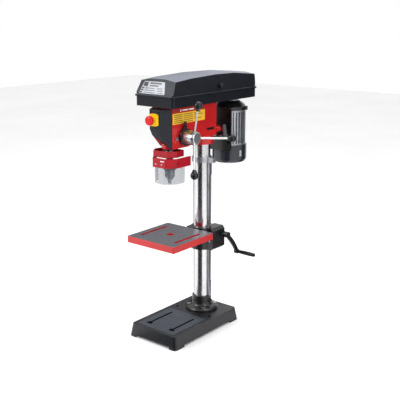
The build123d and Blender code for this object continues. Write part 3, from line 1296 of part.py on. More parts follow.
with BuildPart() as motor_fan_cover:
    with BuildSketch(motor_plane):
        with BuildLine():
            Polyline((0, FAN_LOW), (FAN_R - 14, FAN_LOW), (FAN_R - 5, FAN_LOW + 5), (FAN_R, FAN_LOW + 16),
                     (FAN_R, SHELL_LOW), (FAN_R - 2.5, SHELL_LOW), (FAN_R - 2.5, FAN_LOW + 17),
                     (FAN_R - 7, FAN_LOW + 7), (FAN_R - 15, FAN_LOW + 2.5), (0, FAN_LOW + 2.5), close=True)
        make_face()
    revolve(axis=motor_axis)
    with BuildSketch(Plane.XY.offset(SHELL_LOW - 3)):    # lip that meets the shell
        with Locations((0, MOTOR_Y)):
            Circle(FAN_R)
            Circle(BORE_R, mode=Mode.SUBTRACT)
    extrude(amount=3)
    with BuildSketch(Plane.XY.offset(FAN_LOW - 1)):    # air slots in the bottom
        with Locations((0, MOTOR_Y)):
            with PolarLocations(36, 16):
                SlotOverall(34, 5)
    extrude(amount=6, mode=Mode.SUBTRACT)
    with BuildSketch(facing(PLATE_Y + PLATE_T)):    # flat where the plate stands
        with Locations((0, 740)):
            Rectangle(2 * PLATE_HALF, 120)
    extrude(amount=20, mode=Mode.SUBTRACT)
motor_fan_cover.part.label = "motor_fan_cover"
export_step(motor_fan_cover.part, "parts/motor_fan_cover.step")

with BuildPart() as motor_stator:
    add(ring(BORE_R, STATOR_IN, SHELL_LOW + 30, SHELL_HIGH - 28, y=MOTOR_Y))
    add(ring(BORE_R - 3, STATOR_IN + 4, SHELL_LOW + 14, SHELL_HIGH - 12, y=MOTOR_Y))
motor_stator.part.label = "motor_stator"
export_step(motor_stator.part, "parts/motor_stator.step")

with BuildPart() as motor_rotor:
    with BuildSketch(motor_plane):
        with BuildLine():
            Polyline((0, 704), (6, 704), (6, SHELL_LOW + 28), (STATOR_IN - GAP, SHELL_LOW + 28),
                     (STATOR_IN - GAP, SHELL_HIGH - 26), (SHAFT_R, SHELL_HIGH - 26),
                     (SHAFT_R, CONE_HIGH - 2), (0, CONE_HIGH - 2), close=True)
        make_face()
    revolve(axis=motor_axis)
motor_rotor.part.label = "motor_rotor"
export_step(motor_rotor.part, "parts/motor_rotor.step")

with BuildPart() as motor_fan:
    add(ring(14, 6, 706, 732, y=MOTOR_Y))
    with BuildSketch(Plane.XY.offset(708)):
        with Locations((0, MOTOR_Y)):
            with PolarLocations(36, 8):
                Rectangle(52, 3)
            Circle(13, mode=Mode.SUBTRACT)
    extrude(amount=22)
motor_fan.part.label = "motor_fan"
export_step(motor_fan.part, "parts/motor_fan.step")
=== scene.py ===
"""Looks of a bench drill press: finishes, softened castings and small fittings.

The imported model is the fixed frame. Every casting, plate and turned part is
copied from its node with eased edges, and the fittings that the frame leaves
out, such as screws, labels and the lid knob, are made here as meshes.
"""

import json
import logging
import math
from dataclasses import dataclass, field
from enum import Enum
from typing import Any, Callable, Iterable, Optional, Sequence, Union

import bmesh
import bpy
from mathutils import Matrix, Vector
from mathutils.bvhtree import BVHTree

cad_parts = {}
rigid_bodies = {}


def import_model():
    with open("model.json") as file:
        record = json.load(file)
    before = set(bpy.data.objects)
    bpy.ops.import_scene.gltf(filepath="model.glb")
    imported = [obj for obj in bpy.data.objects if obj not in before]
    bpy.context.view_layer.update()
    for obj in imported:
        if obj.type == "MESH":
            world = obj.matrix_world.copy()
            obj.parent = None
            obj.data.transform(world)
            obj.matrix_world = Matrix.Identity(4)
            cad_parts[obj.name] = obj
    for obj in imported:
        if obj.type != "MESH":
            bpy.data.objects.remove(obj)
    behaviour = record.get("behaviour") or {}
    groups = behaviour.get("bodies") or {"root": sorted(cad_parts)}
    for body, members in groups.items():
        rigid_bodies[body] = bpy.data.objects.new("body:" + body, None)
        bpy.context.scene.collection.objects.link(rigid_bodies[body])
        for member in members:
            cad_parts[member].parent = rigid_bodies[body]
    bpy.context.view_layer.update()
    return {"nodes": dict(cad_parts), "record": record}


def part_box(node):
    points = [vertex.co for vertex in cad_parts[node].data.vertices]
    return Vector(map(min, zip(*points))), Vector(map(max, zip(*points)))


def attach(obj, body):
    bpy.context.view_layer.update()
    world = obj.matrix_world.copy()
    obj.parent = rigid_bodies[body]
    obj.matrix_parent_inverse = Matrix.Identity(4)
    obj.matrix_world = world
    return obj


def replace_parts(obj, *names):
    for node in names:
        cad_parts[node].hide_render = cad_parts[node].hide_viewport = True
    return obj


for start_object in list(bpy.data.objects):
    bpy.data.objects.remove(start_object)
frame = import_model()

LOG = logging.getLogger("drill_press")
MM = 0.001
UP = Vector((0, 0, 1))
MERGE_GAP = 2e-6
CORNER_PULL = 0.3

Colour = tuple[float, float, float]
Point = tuple[float, float, float]


class Axis(Enum):
    """The direction that a turned or ground piece runs along."""

    X = 0
    Y = 1
    Z = 2


def shade(hexa: str) -> Colour:
    """Turns a six-digit hex colour into linear red, green and blue."""
    parts = [int(hexa[i:i + 2], 16) / 255 for i in (0, 2, 4)]
    linear = [c / 12.92 if c <= 0.04045 else ((c + 0.055) / 1.055) ** 2.4 for c in parts]
    return (linear[0], linear[1], linear[2])


# --------------------------------------------------------------- shader maths


class Sock:
    """A node's output that is used in value expressions."""

    def __init__(self, graph: "Graph", socket: bpy.types.NodeSocket) -> None:
        """Keeps the socket and the graph that it belongs to."""
        self.graph = graph
        self.socket = socket

    def _math(self, operation: str, *values: Any) -> "Sock":
        """Adds one Math node on the given values."""
        return self.graph.node("ShaderNodeMath", {"operation": operation}, dict(enumerate(values)))

    def __add__(self, other: Any) -> "Sock":
        """self + other."""
        return self._math("ADD", self, other)

    def __radd__(self, other: Any) -> "Sock":
        """other + self."""
        return self._math("ADD", other, self)

    def __sub__(self, other: Any) -> "Sock":
        """self - other."""
        return self._math("SUBTRACT", self, other)

    def __rsub__(self, other: Any) -> "Sock":
        """other - self."""
        return self._math("SUBTRACT", other, self)

    def __mul__(self, other: Any) -> "Sock":
        """self * other."""
        return self._math("MULTIPLY", self, other)

    def __rmul__(self, other: Any) -> "Sock":
        """other * self."""
        return self._math("MULTIPLY", other, self)

    def __gt__(self, other: Any) -> "Sock":
        """1 where self is above other, and 0 elsewhere."""
        return self._math("GREATER_THAN", self, other)

    def __lt__(self, other: Any) -> "Sock":
        """1 where self is below other, and 0 elsewhere."""
        return self._math("LESS_THAN", self, other)

    def clamp(self) -> "Sock":
        """self held between 0 and 1."""
        return self.graph.node("ShaderNodeClamp", {}, {0: self})

    def step(self, low: float, high: float) -> "Sock":
        """Rises smoothly from 0 at low to 1 at high.

        Args:
            low: The value that gives 0.
            high: The value that gives 1.

        Returns:
            The eased value.
        """
        settings = {"interpolation_type": "SMOOTHSTEP", "data_type": "FLOAT"}
        sockets = {"Value": self, "From Min": low, "From Max": high}
        return self.graph.node("ShaderNodeMapRange", settings, sockets)


class Graph:
    """One material's node tree, with one Principled shader."""

    def __init__(self, name: str) -> None:
        """Makes an empty material with that name."""
        self.material = bpy.data.materials.new(name)
        self.material.use_nodes = True
        self.tree = self.material.node_tree
        self.tree.nodes.clear()
        self._object: Optional[Sock] = None

    def node(self, kind: str, settings: dict[str, Any], sockets: dict[Any, Any],
             out: Union[int, str] = 0) -> Sock:
        """Adds a node, sets it up, then fills its inputs.

        Args:
            kind: The node's type.
            settings: Its properties.
            sockets: Input names or numbers, with values or other outputs.
            out: The output that is wanted.

        Returns:
            That output.
        """
        made = self.tree.nodes.new(kind)
        for name, value in settings.items():
            setattr(made, name, value)
        for name, value in sockets.items():
            if isinstance(value, Sock):
                self.tree.links.new(value.socket, made.inputs[name])
            elif value is not None:
                made.inputs[name].default_value = value
        return Sock(self, made.outputs[out])

    @property
    def place(self) -> Sock:
        """The point on the piece, in the frame at rest."""
        if self._object is None:
            self._object = self.node("ShaderNodeTexCoord", {}, {}, "Object")
        return self._object

    def axes(self) -> tuple[Sock, Sock, Sock]:
        """The point's X, Y and Z in metres."""
        split = self.node("ShaderNodeSeparateXYZ", {}, {0: self.place})
        outs = split.socket.node.outputs
        return Sock(self, outs[0]), Sock(self, outs[1]), Sock(self, outs[2])

    def radius(self, axis: Axis, centre: Point) -> Sock:
        """The distance from a line along axis through centre, in metres."""
        flat = [0.0 if i == axis.value else 1.0 for i in range(3)]
        moved = self.node("ShaderNodeVectorMath", {"operation": "SUBTRACT"}, {0: self.place, 1: centre})
        held = self.node("ShaderNodeVectorMath", {"operation": "MULTIPLY"}, {0: moved, 1: flat})
        return self.node("ShaderNodeVectorMath", {"operation": "LENGTH"}, {0: held}, "Value")

    def noise(self, scale: float, detail: float = 3.0, rough: float = 0.55,
              stretch: Point = (1.0, 1.0, 1.0), offset: float = 0.0) -> Sock:
        """Soft noise from 0 to 1, with its scale per metre.

        Args:
            scale: Grains per metre.
            detail: Octaves.
            rough: How strong the fine octaves are.
            stretch: Multiplies the scale along each axis.
            offset: Moves the pattern, so that two noises differ.

        Returns:
            The noise value.
        """
        where = self.node("ShaderNodeMapping", {}, {
            "Vector": self.place, "Scale": stretch, "Location": (offset, offset * 0.7, offset * 1.3)})
        return self.node("ShaderNodeTexNoise", {}, {
            "Vector": where, "Scale": scale, "Detail": detail, "Roughness": rough}, 0)

    def cells(self, scale: float) -> Sock:
        """Distance to the nearest of scattered points, with scale per metre."""
        return self.node("ShaderNodeTexVoronoi", {}, {"Vector": self.place, "Scale": scale}, 0)

    def mix(self, factor: Any, first: Any, second: Any) -> Sock:
        """Mixes two colours.

        Args:
            factor: 0 gives the first and 1 the second.
            first: A colour or an output.
            second: A colour or an output.

        Returns:
            The mixed colour.
        """
        def whole(colour: Any) -> Any:
            """Adds a full alpha to a plain colour."""
            return colour if isinstance(colour, Sock) else (*colour, 1.0)
        return self.node("ShaderNodeMix", {"data_type": "RGBA"}, {
            0: factor, 6: whole(first), 7: whole(second)}, 2)

    def edges(self, reach: float) -> Sock:
        """1 on sharp edges and 0 on open faces.

        Args:
            reach: How far from an edge the mask goes, in metres.

        Returns:
            The mask.
        """
        eased = self.node("ShaderNodeBevel", {"samples": 4}, {"Radius": reach})
        plain = self.node("ShaderNodeNewGeometry", {}, {}, "Normal")
        dot = self.node("ShaderNodeVectorMath", {"operation": "DOT_PRODUCT"}, {0: eased, 1: plain}, "Value")
        return (1.0 - dot).step(0.02, 0.22)

    def upward(self) -> Sock:
        """1 where the surface faces up and 0 where it faces sideways or down."""
        normal = self.node("ShaderNodeNewGeometry", {}, {}, "Normal")
        dot = self.node("ShaderNodeVectorMath", {"operation": "DOT_PRODUCT"}, {0: normal, 1: UP}, "Value")
        return dot.step(0.3, 0.95)

    def bump(self, height: Sock, depth: float, under: Optional[Sock] = None) -> Sock:
        """Turns a height from 0 to 1 into a normal.

        Args:
            height: The height.
            depth: How many metres a height of 1 stands up.
            under: A coarser normal that this one lies on.

        Returns:
            The normal.
        """
        return self.node("ShaderNodeBump", {}, {
            "Strength": 1.0, "Distance": depth, "Height": height, "Normal": under})

    def surface(self, **sockets: Any) -> bpy.types.Material:
        """Adds the Principled shader and ends the material.

        Args:
            **sockets: Inputs of the shader, with _ for a space.

        Returns:
            The finished material.
        """
        inputs = {name.replace("_", " "): value for name, value in sockets.items()}
        inputs.setdefault("IOR", 1.5)
        principled = self.node("ShaderNodeBsdfPrincipled", {}, inputs)
        self.node_output(principled)
        return self.material

    def node_output(self, shader: Sock) -> None:
        """Links a shader to the material's output."""
        out = self.tree.nodes.new("ShaderNodeOutputMaterial")
        self.tree.links.new(shader.socket, out.inputs["Surface"])


# ------------------------------------------------------------------- finishes


@dataclass(frozen=True)
class Finish:
    """A surface finish, built once as a material."""

    name: str
    colour: Colour

    def build(self, g: Graph) -> bpy.types.Material:
        """Fills the graph. Each kind of finish has its own.

        Args:
            g: The empty graph.

        Returns:
            The finished material.
        """
        raise NotImplementedError(self.name)

    @property
    def material(self) -> bpy.types.Material:
        """The finish's material, made the first time that it is asked for."""
        name = self.name + "_skin"
        made = bpy.data.materials.get(name)
        return made if made is not None else self.build(Graph(name))

    def tinted(self, amount: float) -> Colour:
        """The colour made lighter or darker.

        Args:
            amount: What each channel is multiplied by.

        Returns:
            The new colour, held within 0 and 1.
        """
        lit = [min(1.0, c * amount) for c in self.colour]
        return (lit[0], lit[1], lit[2])


@dataclass(frozen=True)
class Enamel(Finish):
    """Sprayed enamel on cast iron or sheet, with orange peel and rubbed edges."""

    rough: float = 0.24
    cast: float = 0.00025
    wear: float = 0.5
    under: Colour = shade("8d8f94")
    coat: float = 0.35

    def build(self, g: Graph) -> bpy.types.Material:
        """Clouded paint over a cast skin, thin where edges have been rubbed."""
        cloud = g.noise(11.0, 4.0, 0.6)
        skin = g.noise(170.0, 4.0, 0.62, offset=3.1)
        peel = g.noise(1150.0, 2.0, 0.5, offset=1.7)
        specks = g.noise(420.0, 3.0, 0.7, offset=7.7)
        tone = g.mix(cloud.step(0.3, 0.7), self.tinted(0.9), self.tinted(1.08))
        dust = g.upward() * specks.step(0.45, 0.75) * 0.1
        dusty = g.mix(dust, tone, shade("b9b4ac"))
        rub = g.edges(0.0011) * (specks * 0.6 + cloud * 0.4).step(0.5, 0.62) * self.wear
        paint = g.mix(rub, dusty, self.under)
        rough = (cloud * 0.1 + specks * 0.06 + (self.rough - 0.08) + rub * 0.25 + dust).clamp()
        normal = g.bump(peel, 0.00004, g.bump(skin, self.cast))
        return g.surface(Base_Color=paint, Roughness=rough, Normal=normal,
                         Coat_Weight=self.coat, Coat_Roughness=0.12, Specular_IOR_Level=0.5)


@dataclass(frozen=True)
class Ground(Finish):
    """Bare iron or steel with straight grinding marks along one axis."""

    along: Axis = Axis.X
    rough: float = 0.3
    stain: Colour = shade("6d6a66")
    stained: float = 0.35

    def build(self, g: Graph) -> bpy.types.Material:
        """Fine parallel scratches under faint oil stains."""
        stretch = [1.0, 1.0, 1.0]
        stretch[self.along.value] = 0.02
        lines = g.noise(2600.0, 2.0, 0.6, tuple(stretch))
        broad = g.noise(420.0, 2.0, 0.5, tuple(stretch), 2.2)
        cloud = g.noise(16.0, 5.0, 0.62, offset=4.0)
        marks = lines * 0.6 + broad * 0.4
        steel = g.mix(marks.step(0.3, 0.7), self.tinted(0.78), self.tinted(1.14))
        oily = cloud.step(0.52, 0.72) * self.stained
        tone = g.mix(oily, steel, self.stain)
        rough = (marks * 0.16 + (self.rough - 0.06) + oily * 0.2).clamp()
        return g.surface(Base_Color=tone, Metallic=1.0, Roughness=rough,
                         Normal=g.bump(marks, 0.00003))


@dataclass(frozen=True)
class Turned(Finish):
    """Metal with the rings that a lathe tool leaves round an axis."""

    axis: Axis = Axis.Z
    centre: Point = (0.0, 0.0, 0.0)
    rough: float = 0.26
    pitch: float = 0.0011
    depth: float = 0.00003
    metallic: float = 1.0

    def build(self, g: Graph) -> bpy.types.Material:
        """Rings that vary along the axis and out from it, lightly smudged."""
        outward = g.radius(self.axis, self.centre)
        along = g.axes()[self.axis.value]
        line = g.node("ShaderNodeCombineXYZ", {}, {0: outward, 1: along, 2: 0.0})
        fine = g.node("ShaderNodeTexNoise", {}, {"Vector": line, "Scale": 1.0 / self.pitch, "Detail": 3.0}, 0)
        wide = {"Vector": line, "Scale": 0.18 / self.pitch, "Detail": 2.0}
        broad = g.node("ShaderNodeTexNoise", {}, wide, 0)
        rings = fine * 0.6 + broad * 0.4
        smudge = g.noise(34.0, 4.0, 0.6, offset=2.0)
        tone = g.mix(rings.step(0.32, 0.68), self.tinted(0.82), self.tinted(1.12))
        worn = g.mix(smudge.step(0.5, 0.78) * 0.3, tone, self.tinted(0.6))
        rough = (rings * 0.14 + smudge * 0.12 + (self.rough - 0.12)).clamp()
        return g.surface(Base_Color=worn, Metallic=self.metallic, Roughness=rough,
                         Normal=g.bump(rings, self.depth))


@dataclass(frozen=True)
class CastAlloy(Finish):
    """Bare die-cast metal with a fine grain and darker hollows."""

    rough: float = 0.42
    grain: float = 0.00012
    metallic: float = 1.0

    def build(self, g: Graph) -> bpy.types.Material:
        """A grainy skin with brighter rubbed edges."""
        fine = g.noise(900.0, 3.0, 0.6)
        cloud = g.noise(26.0, 4.0, 0.6, offset=5.0)
        tone = g.mix(cloud.step(0.3, 0.7), self.tinted(0.8), self.tinted(1.1))
        lit = g.mix(g.edges(0.0009) * fine.step(0.35, 0.6) * 0.5, tone, self.tinted(1.5))
        rough = (fine * 0.2 + (self.rough - 0.1)).clamp()
        return g.surface(Base_Color=lit, Metallic=self.metallic, Roughness=rough,
                         Normal=g.bump(fine * 0.5 + cloud * 0.5, self.grain))


@dataclass(frozen=True)
class Plated(Finish):
    """Chrome, zinc or black oxide on a smooth steel piece."""

    rough: float = 0.08

    def build(self, g: Graph) -> bpy.types.Material:
        """Bright plating with faint finger smears."""
        smear = g.noise(60.0, 4.0, 0.65)
        fine = g.noise(1400.0, 2.0, 0.5, offset=2.0)
        tone = g.mix(smear.step(0.4, 0.8) * 0.5, self.colour, self.tinted(0.78))
        rough = (smear.step(0.4, 0.8) * 0.12 + fine * 0.03 + self.rough).clamp()
        return g.surface(Base_Color=tone, Metallic=1.0, Roughness=rough,
                         Normal=g.bump(fine, 0.000008))


@dataclass(frozen=True)
class Moulded(Finish):
    """Moulded plastic with a spark-eroded grain and paler scuffed edges."""

    rough: float = 0.38
    grain: float = 0.00005
    grains: float = 1500.0
    scuff: float = 0.35
    coat: float = 0.0
    # how strongly the painted sky reflection lightens faces that point up
    painted_sky_reflection: float = 0.0

    def build(self, g: Graph) -> bpy.types.Material:
        """A pebbled skin with slow shifts of tone, and a painted sky reflection that lightens faces that
        point up.
        """
        pebbles = g.cells(self.grains)
        fine = g.noise(self.grains * 1.4, 2.0, 0.5, offset=1.0)
        cloud = g.noise(14.0, 4.0, 0.6, offset=6.0)
        tone = g.mix(cloud.step(0.3, 0.7), self.tinted(0.9), self.tinted(1.1))
        speck = g.mix(fine.step(0.4, 0.8) * 0.12, tone, self.tinted(1.5))
        rub = g.edges(0.0009) * cloud.step(0.42, 0.6) * self.scuff
        worn = g.mix(rub, speck, self.tinted(1.9))
        dust = g.upward() * fine.step(0.5, 0.8) * 0.05
        rough = (pebbles * 0.1 + cloud * 0.1 + (self.rough - 0.1) + rub * 0.15).clamp()
        # painted sky reflection: faces that point up are mixed towards a pale blue grey, standing in for
        # light from above
        painted_sky_tone = g.mix(g.upward() * self.painted_sky_reflection, worn, shade("8d93a6"))
        return g.surface(Base_Color=g.mix(dust, painted_sky_tone, shade("b0b2b6")), Roughness=rough,
                         Normal=g.bump(pebbles * 0.6 + fine * 0.4, self.grain), Specular_IOR_Level=0.2,
                         Coat_Weight=self.coat, Coat_Roughness=0.15)


@dataclass(frozen=True)
class Clear(Finish):
    """Clear plastic sheet, faintly grey, with fine swirls from wiping."""

    alpha: float = 0.3

    def build(self, g: Graph) -> bpy.types.Material:
        """Thin, hazy, see-through sheet that is denser where it is scratched."""
        swirl = g.noise(420.0, 3.0, 0.7, (1.0, 1.0, 0.15))
        haze = g.noise(28.0, 4.0, 0.6, offset=2.0)
        rim = g.edges(0.0012)
        alpha = (swirl.step(0.55, 0.8) * 0.08 + haze * 0.14 + (self.alpha - 0.07) + rim * 0.3).clamp()
        tone = g.mix(rim * 0.6, self.colour, self.tinted(1.3))
        rough = (swirl * 0.16 + 0.06).clamp()
        return g.surface(Base_Color=tone, Roughness=rough, Alpha=alpha,
                         Normal=g.bump(haze, 0.00004), Specular_IOR_Level=0.7)


@dataclass(frozen=True)
class Rubber(Finish):
    """Matt rubber with a woven wrapping and chalky dust."""

    def build(self, g: Graph) -> bpy.types.Material:
        """A dull skin with a fine weave."""
        weave = g.noise(1800.0, 2.0, 0.6, (1.0, 1.0, 3.0))
        chalk = g.noise(120.0, 4.0, 0.7, offset=3.0)
        tone = g.mix(chalk.step(0.45, 0.75) * 0.35, self.colour, shade("6f6f6c"))
        return g.surface(Base_Color=tone, Roughness=(weave * 0.2 + 0.6).clamp(),
                         Normal=g.bump(weave, 0.00008))


@dataclass(frozen=True)
class Bar:
    """A printed rectangle: two axes with their low and high ends, in mm."""

    across: tuple[float, float]
    height: tuple[float, float]
    colour: Colour


@dataclass(frozen=True)
class Print(Finish):
    """A printed label: a ground colour with plain bars, generic and wordless."""

    across: Axis = Axis.Y
    bars: tuple[Bar, ...] = ()
    rough: float = 0.3
    metallic: float = 0.0

    def build(self, g: Graph) -> bpy.types.Material:
        """Bars laid over the ground by position, with ink grain and scuffs."""
        axes = g.axes()
        u, v = axes[self.across.value], axes[2]
        grain = g.noise(1600.0, 2.0, 0.6)
        scuff = g.noise(90.0, 5.0, 0.7, offset=4.0).step(0.58, 0.78) * 0.35
        tone: Any = g.mix(grain * 0.25, self.tinted(0.92), self.tinted(1.06))
        for bar in self.bars:
            inside = ((u > bar.across[0] * MM) * (u < bar.across[1] * MM)
                      * (v > bar.height[0] * MM) * (v < bar.height[1] * MM))
            tone = g.mix(inside, tone, bar.colour)
        tone = g.mix(scuff, tone, self.tinted(0.82))
        return g.surface(Base_Color=tone, Roughness=(grain * 0.1 + scuff * 0.5 + self.rough).clamp(),
                         Metallic=self.metallic, Normal=g.bump(grain, 0.00001), Coat_Weight=0.3,
                         Coat_Roughness=0.1)


# ---------------------------------------------------------------- mesh making


def mm(x: float, y: float, z: float) -> Vector:
    """A point given in millimetres, in metres."""
    return Vector((x, y, z)) * MM


def new_object(name: str, mesh: bpy.types.Mesh) -> bpy.types.Object:
    """Links a new object for a mesh.

    Args:
        name: The object's name.
        mesh: Its mesh, in the row frame.

    Returns:
        The object.
    """
    made = bpy.data.objects.new(name, mesh)
    bpy.context.scene.collection.objects.link(made)
    return made


def settle(obj: bpy.types.Object) -> None:
    """Replaces an object's mesh with what its modifiers make of it.

    Args:
        obj: The object, whose modifiers are taken off.
    """
    graph = bpy.context.evaluated_depsgraph_get()
    solid = bpy.data.meshes.new_from_object(obj.evaluated_get(graph), depsgraph=graph)
    obj.modifiers.clear()
    obj.data = solid


def smooth(obj: bpy.types.Object, corner: float = 38.0) -> None:
    """Shades a mesh smooth, but crisp across its real corners.

    Args:
        obj: The object.
        corner: The angle in degrees from which an edge stays sharp.
    """
    for polygon in obj.data.polygons:
        polygon.use_smooth = True
    obj.data.set_sharp_from_angle(angle=math.radians(corner))
    weighted = obj.modifiers.new("weighted", "WEIGHTED_NORMAL")
    weighted.keep_sharp = True
    settle(obj)


def fit(obj: bpy.types.Object, finish: Finish, body: str, slot: str) -> bpy.types.Object:
    """Dresses a new piece and lets it ride on its body.

    Args:
        obj: The piece, in place.
        finish: Its finish.
        body: The body that carries it.
        slot: The record's material slot. Not used.

    Returns:
        The same piece.
    """
    obj.data.materials.clear()
    obj.data.materials.append(finish.material)
    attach(obj, body)
    LOG.info("  %s on %s", obj.name, body)
    return obj


def body_of(node: str) -> str:
    """The body that carries a CAD node."""
    bodies = frame["record"]["behaviour"]["bodies"]
    return next(name for name, nodes in bodies.items() if node in nodes)


def slot_of(node: str) -> str:
    """The material slot that a CAD node has in the record."""
    return next(row["material_slot"] for row in frame["record"]["subparts"] if row["node"] == node)


def clean_copy(node: str, flat: float = 0.5) -> bpy.types.Mesh:
    """Copies a node's mesh, welded, with its flat faces made whole.

    Args:
        node: The CAD node.
        flat: Faces that differ by less than this many degrees become one.

    Returns:
        The new mesh.
    """
    bm = bmesh.new()
    bm.from_mesh(frame["nodes"][node].data)
    bmesh.ops.remove_doubles(bm, verts=bm.verts, dist=MERGE_GAP)
    bmesh.ops.dissolve_limit(bm, angle_limit=math.radians(flat), verts=bm.verts, edges=bm.edges,
                             use_dissolve_boundaries=False, delimit=set())
    mesh = bpy.data.meshes.new(node + "_mesh")
    bm.to_mesh(mesh)
    bm.free()
    return mesh


def eased(node: str, finish: Finish, width: float = 0.7, steps: int = 2,
          corner: float = 30.0) -> bpy.types.Object:
    """Stands a copy with rounded edges in for a CAD node.

    Args:
        node: The CAD node.
        finish: The finish of the whole piece.
        width: How wide each edge is rounded, in mm.
        steps: Faces across a rounded edge.
        corner: The angle in degrees from which an edge is rounded.

    Returns:
        The new piece, riding on the node's body.
    """
    piece = new_object(node + "_piece", clean_copy(node))
    bevel = piece.modifiers.new("eased", "BEVEL")
    bevel.limit_method = "ANGLE"
    bevel.angle_limit = math.radians(corner)
    bevel.width = width * MM
    bevel.segments = steps
    bevel.miter_outer = "MITER_ARC"
    bevel.use_clamp_overlap = True
    settle(piece)
    smooth(piece)
    fit(piece, finish, body_of(node), slot_of(node))
    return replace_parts(piece, node)


def dress(node: str, finish: Finish) -> None:
    """Gives a CAD node that is shown as it is a better material.

    Args:
        node: The CAD node.
        finish: Its finish.
    """
    mesh = frame["nodes"][node].data
    for i in range(len(mesh.materials)):
        mesh.materials[i] = finish.material


def outline(corners: Optional[int], radius: float, count: int = 24,
            slim: float = 0.0) -> list[tuple[float, float]]:
    """A closed outline of evenly turned points.

    Args:
        corners: Sides of a polygon, 0 for a cross, or None for a circle.
        radius: The distance to the corners.
        count: How many points.
        slim: Half the width of a cross's arms.

    Returns:
        Pairs of u and v.
    """
    points = []
    for i in range(count):
        turn = 2 * math.pi * i / count
        reach = radius
        if corners:
            wedge = math.pi / corners
            reach = radius * math.cos(wedge) / math.cos((turn % (2 * wedge)) - wedge)
        elif corners == 0:
            arm = min(abs(math.sin(turn)), abs(math.cos(turn)))
            reach = min(radius, slim / max(arm, 1e-6))
        points.append((reach * math.cos(turn), reach * math.sin(turn)))
    return points


def loft(bm: bmesh.types.BMesh, rings: Sequence[Sequence[Vector]], closed: bool = True) -> None:
    """Skins a row of rings that have the same number of points.

    Args:
        bm: The mesh that is added to.
        rings: The rings, from first to last.
        closed: Whether the two ends get a face.
    """
    made = [[bm.verts.new(p) for p in ring] for ring in rings]
    for low, high in zip(made, made[1:]):
        for i in range(len(low)):
            j = (i + 1) % len(low)
            bm.faces.new((low[i], low[j], high[j], high[i]))
    if closed:
        bm.faces.new(list(reversed(made[0])))
        bm.faces.new(made[-1])


def basis(normal: Vector, turn: float = 0.0) -> Matrix:
    """A rotation whose Z is normal.

    Args:
        normal: The new Z.
        turn: A turn about it, in degrees.

    Returns:
        A 3 x 3 matrix.
    """
    return (normal.to_track_quat("Z", "Y").to_matrix() @ Matrix.Rotation(math.radians(turn), 3, "Z"))


def finish_mesh(name: str, bm: bmesh.types.BMesh, corner: float = 38.0) -> bpy.types.Object:
    """Ends a mesh in the making and shades it.

    Args:
        name: The object's name.
        bm: The mesh, which is freed.
        corner: The angle from which an edge stays sharp.

    Returns:
        The object.
    """
    bmesh.ops.recalc_face_normals(bm, faces=bm.faces)
    mesh = bpy.data.meshes.new(name)
    bm.to_mesh(mesh)
    bm.free()
    made = new_object(name, mesh)
    smooth(made, corner)
    return made


class Drive(Enum):
    """How a screw is turned."""

    CROSS = "cross"
    SOCKET = "socket"
    HEXAGON = "hexagon"


@dataclass(frozen=True)
class Screw:
    """A screw's visible head, with its drive, and a washer under some."""

    drive: Drive = Drive.CROSS
    radius: float = 4.0
    height: float = 2.6
    washer: float = 0.0

    def add(self, bm: bmesh.types.BMesh, spot: Vector, normal: Vector, turn: float = 0.0) -> None:
        """Adds one head to a mesh.

        Args:
            bm: The mesh.
            spot: The middle of the seat, in metres.
            normal: The way that the head faces.
            turn: The head's turn, in degrees.
        """
        r, h = self.radius, self.height
        base = 0.0
        if self.washer:
            base = 0.9
            rim = outline(None, self.washer)
            inner = outline(None, self.washer - 0.5)
            self._skin(bm, spot, normal, turn, [(rim, 0.0), (rim, base - 0.3), (inner, base)])
        if self.drive is Drive.HEXAGON:
            six = outline(6, r)
            six_in = outline(None, r * 0.84)
            top = outline(None, r * 0.5)
            rings = [(six, base), (six, base + h * 0.82), (six_in, base + h), (top, base + h)]
        elif self.drive is Drive.SOCKET:
            socket = outline(6, r * 0.52)
            rings = [(outline(None, r * 0.98), base), (outline(None, r), base + 0.3),
                     (outline(None, r), base + h - 0.5), (outline(None, r - 0.45), base + h),
                     (outline(6, r * 0.58), base + h), (socket, base + h - 0.25),
                     (socket, base + h * 0.45)]
        else:
            cross = outline(0, r * 0.58, slim=r * 0.13)
            inner = outline(0, r * 0.5, slim=r * 0.1)
            rings = [(outline(None, r), base), (outline(None, r), base + h * 0.3),
                     (outline(None, r * 0.9), base + h * 0.68), (outline(None, r * 0.72), base + h * 0.9),
                     (cross, base + h), (inner, base + h * 0.45)]
        self._skin(bm, spot, normal, turn, rings)

    @staticmethod
    def _skin(bm: bmesh.types.BMesh, spot: Vector, normal: Vector, turn: float,
              rings: Sequence[tuple[Sequence[tuple[float, float]], float]]) -> None:
        """Skins outlines that are stacked along a normal."""
        turned = basis(normal, turn)
        loft(bm, [[spot + turned @ mm(u, v, level) for u, v in ring] for ring, level in rings])


def screws(name: str, screw: Screw, spots: Iterable[tuple[Vector, Vector]], finish: Finish,
           body: str, slot: str) -> bpy.types.Object:
    """Makes a set of like screws as one piece.

    Args:
        name: The piece's name.
        screw: The kind of screw.
        spots: Seat points with the way that each head faces.
        finish: Their finish.
        body: The body that carries them.
        slot: The record's material slot.

    Returns:
        The piece.
    """
    bm = bmesh.new()
    for i, (spot, normal) in enumerate(spots):
        screw.add(bm, spot, normal, 17.0 + 47.0 * i)
    return fit(finish_mesh(name, bm, 30.0), finish, body, slot)


def lathe(bm: bmesh.types.BMesh, profile: Sequence[tuple[float, float]], foot: Vector, axis: Vector,
          count: int = 48, wave: Optional[Callable[[float, float], float]] = None) -> None:
    """Adds a turned solid.

    Args:
        bm: The mesh.
        profile: Pairs of radius and height, in mm, from foot to top.
        foot: The point where the height is 0.
        axis: The way that the height runs.
        count: Points round each ring.
        wave: What is added to a radius at a turn and a height, in mm.
    """
    turned = basis(axis)
    rings = []
    for radius, height in profile:
        ring = []
        for i in range(count):
            turn = 2 * math.pi * i / count
            reach = radius + (wave(turn, height) if wave else 0.0)
            ring.append(foot + turned @ mm(reach * math.cos(turn), reach * math.sin(turn), height))
        rings.append(ring)
    loft(bm, rings)


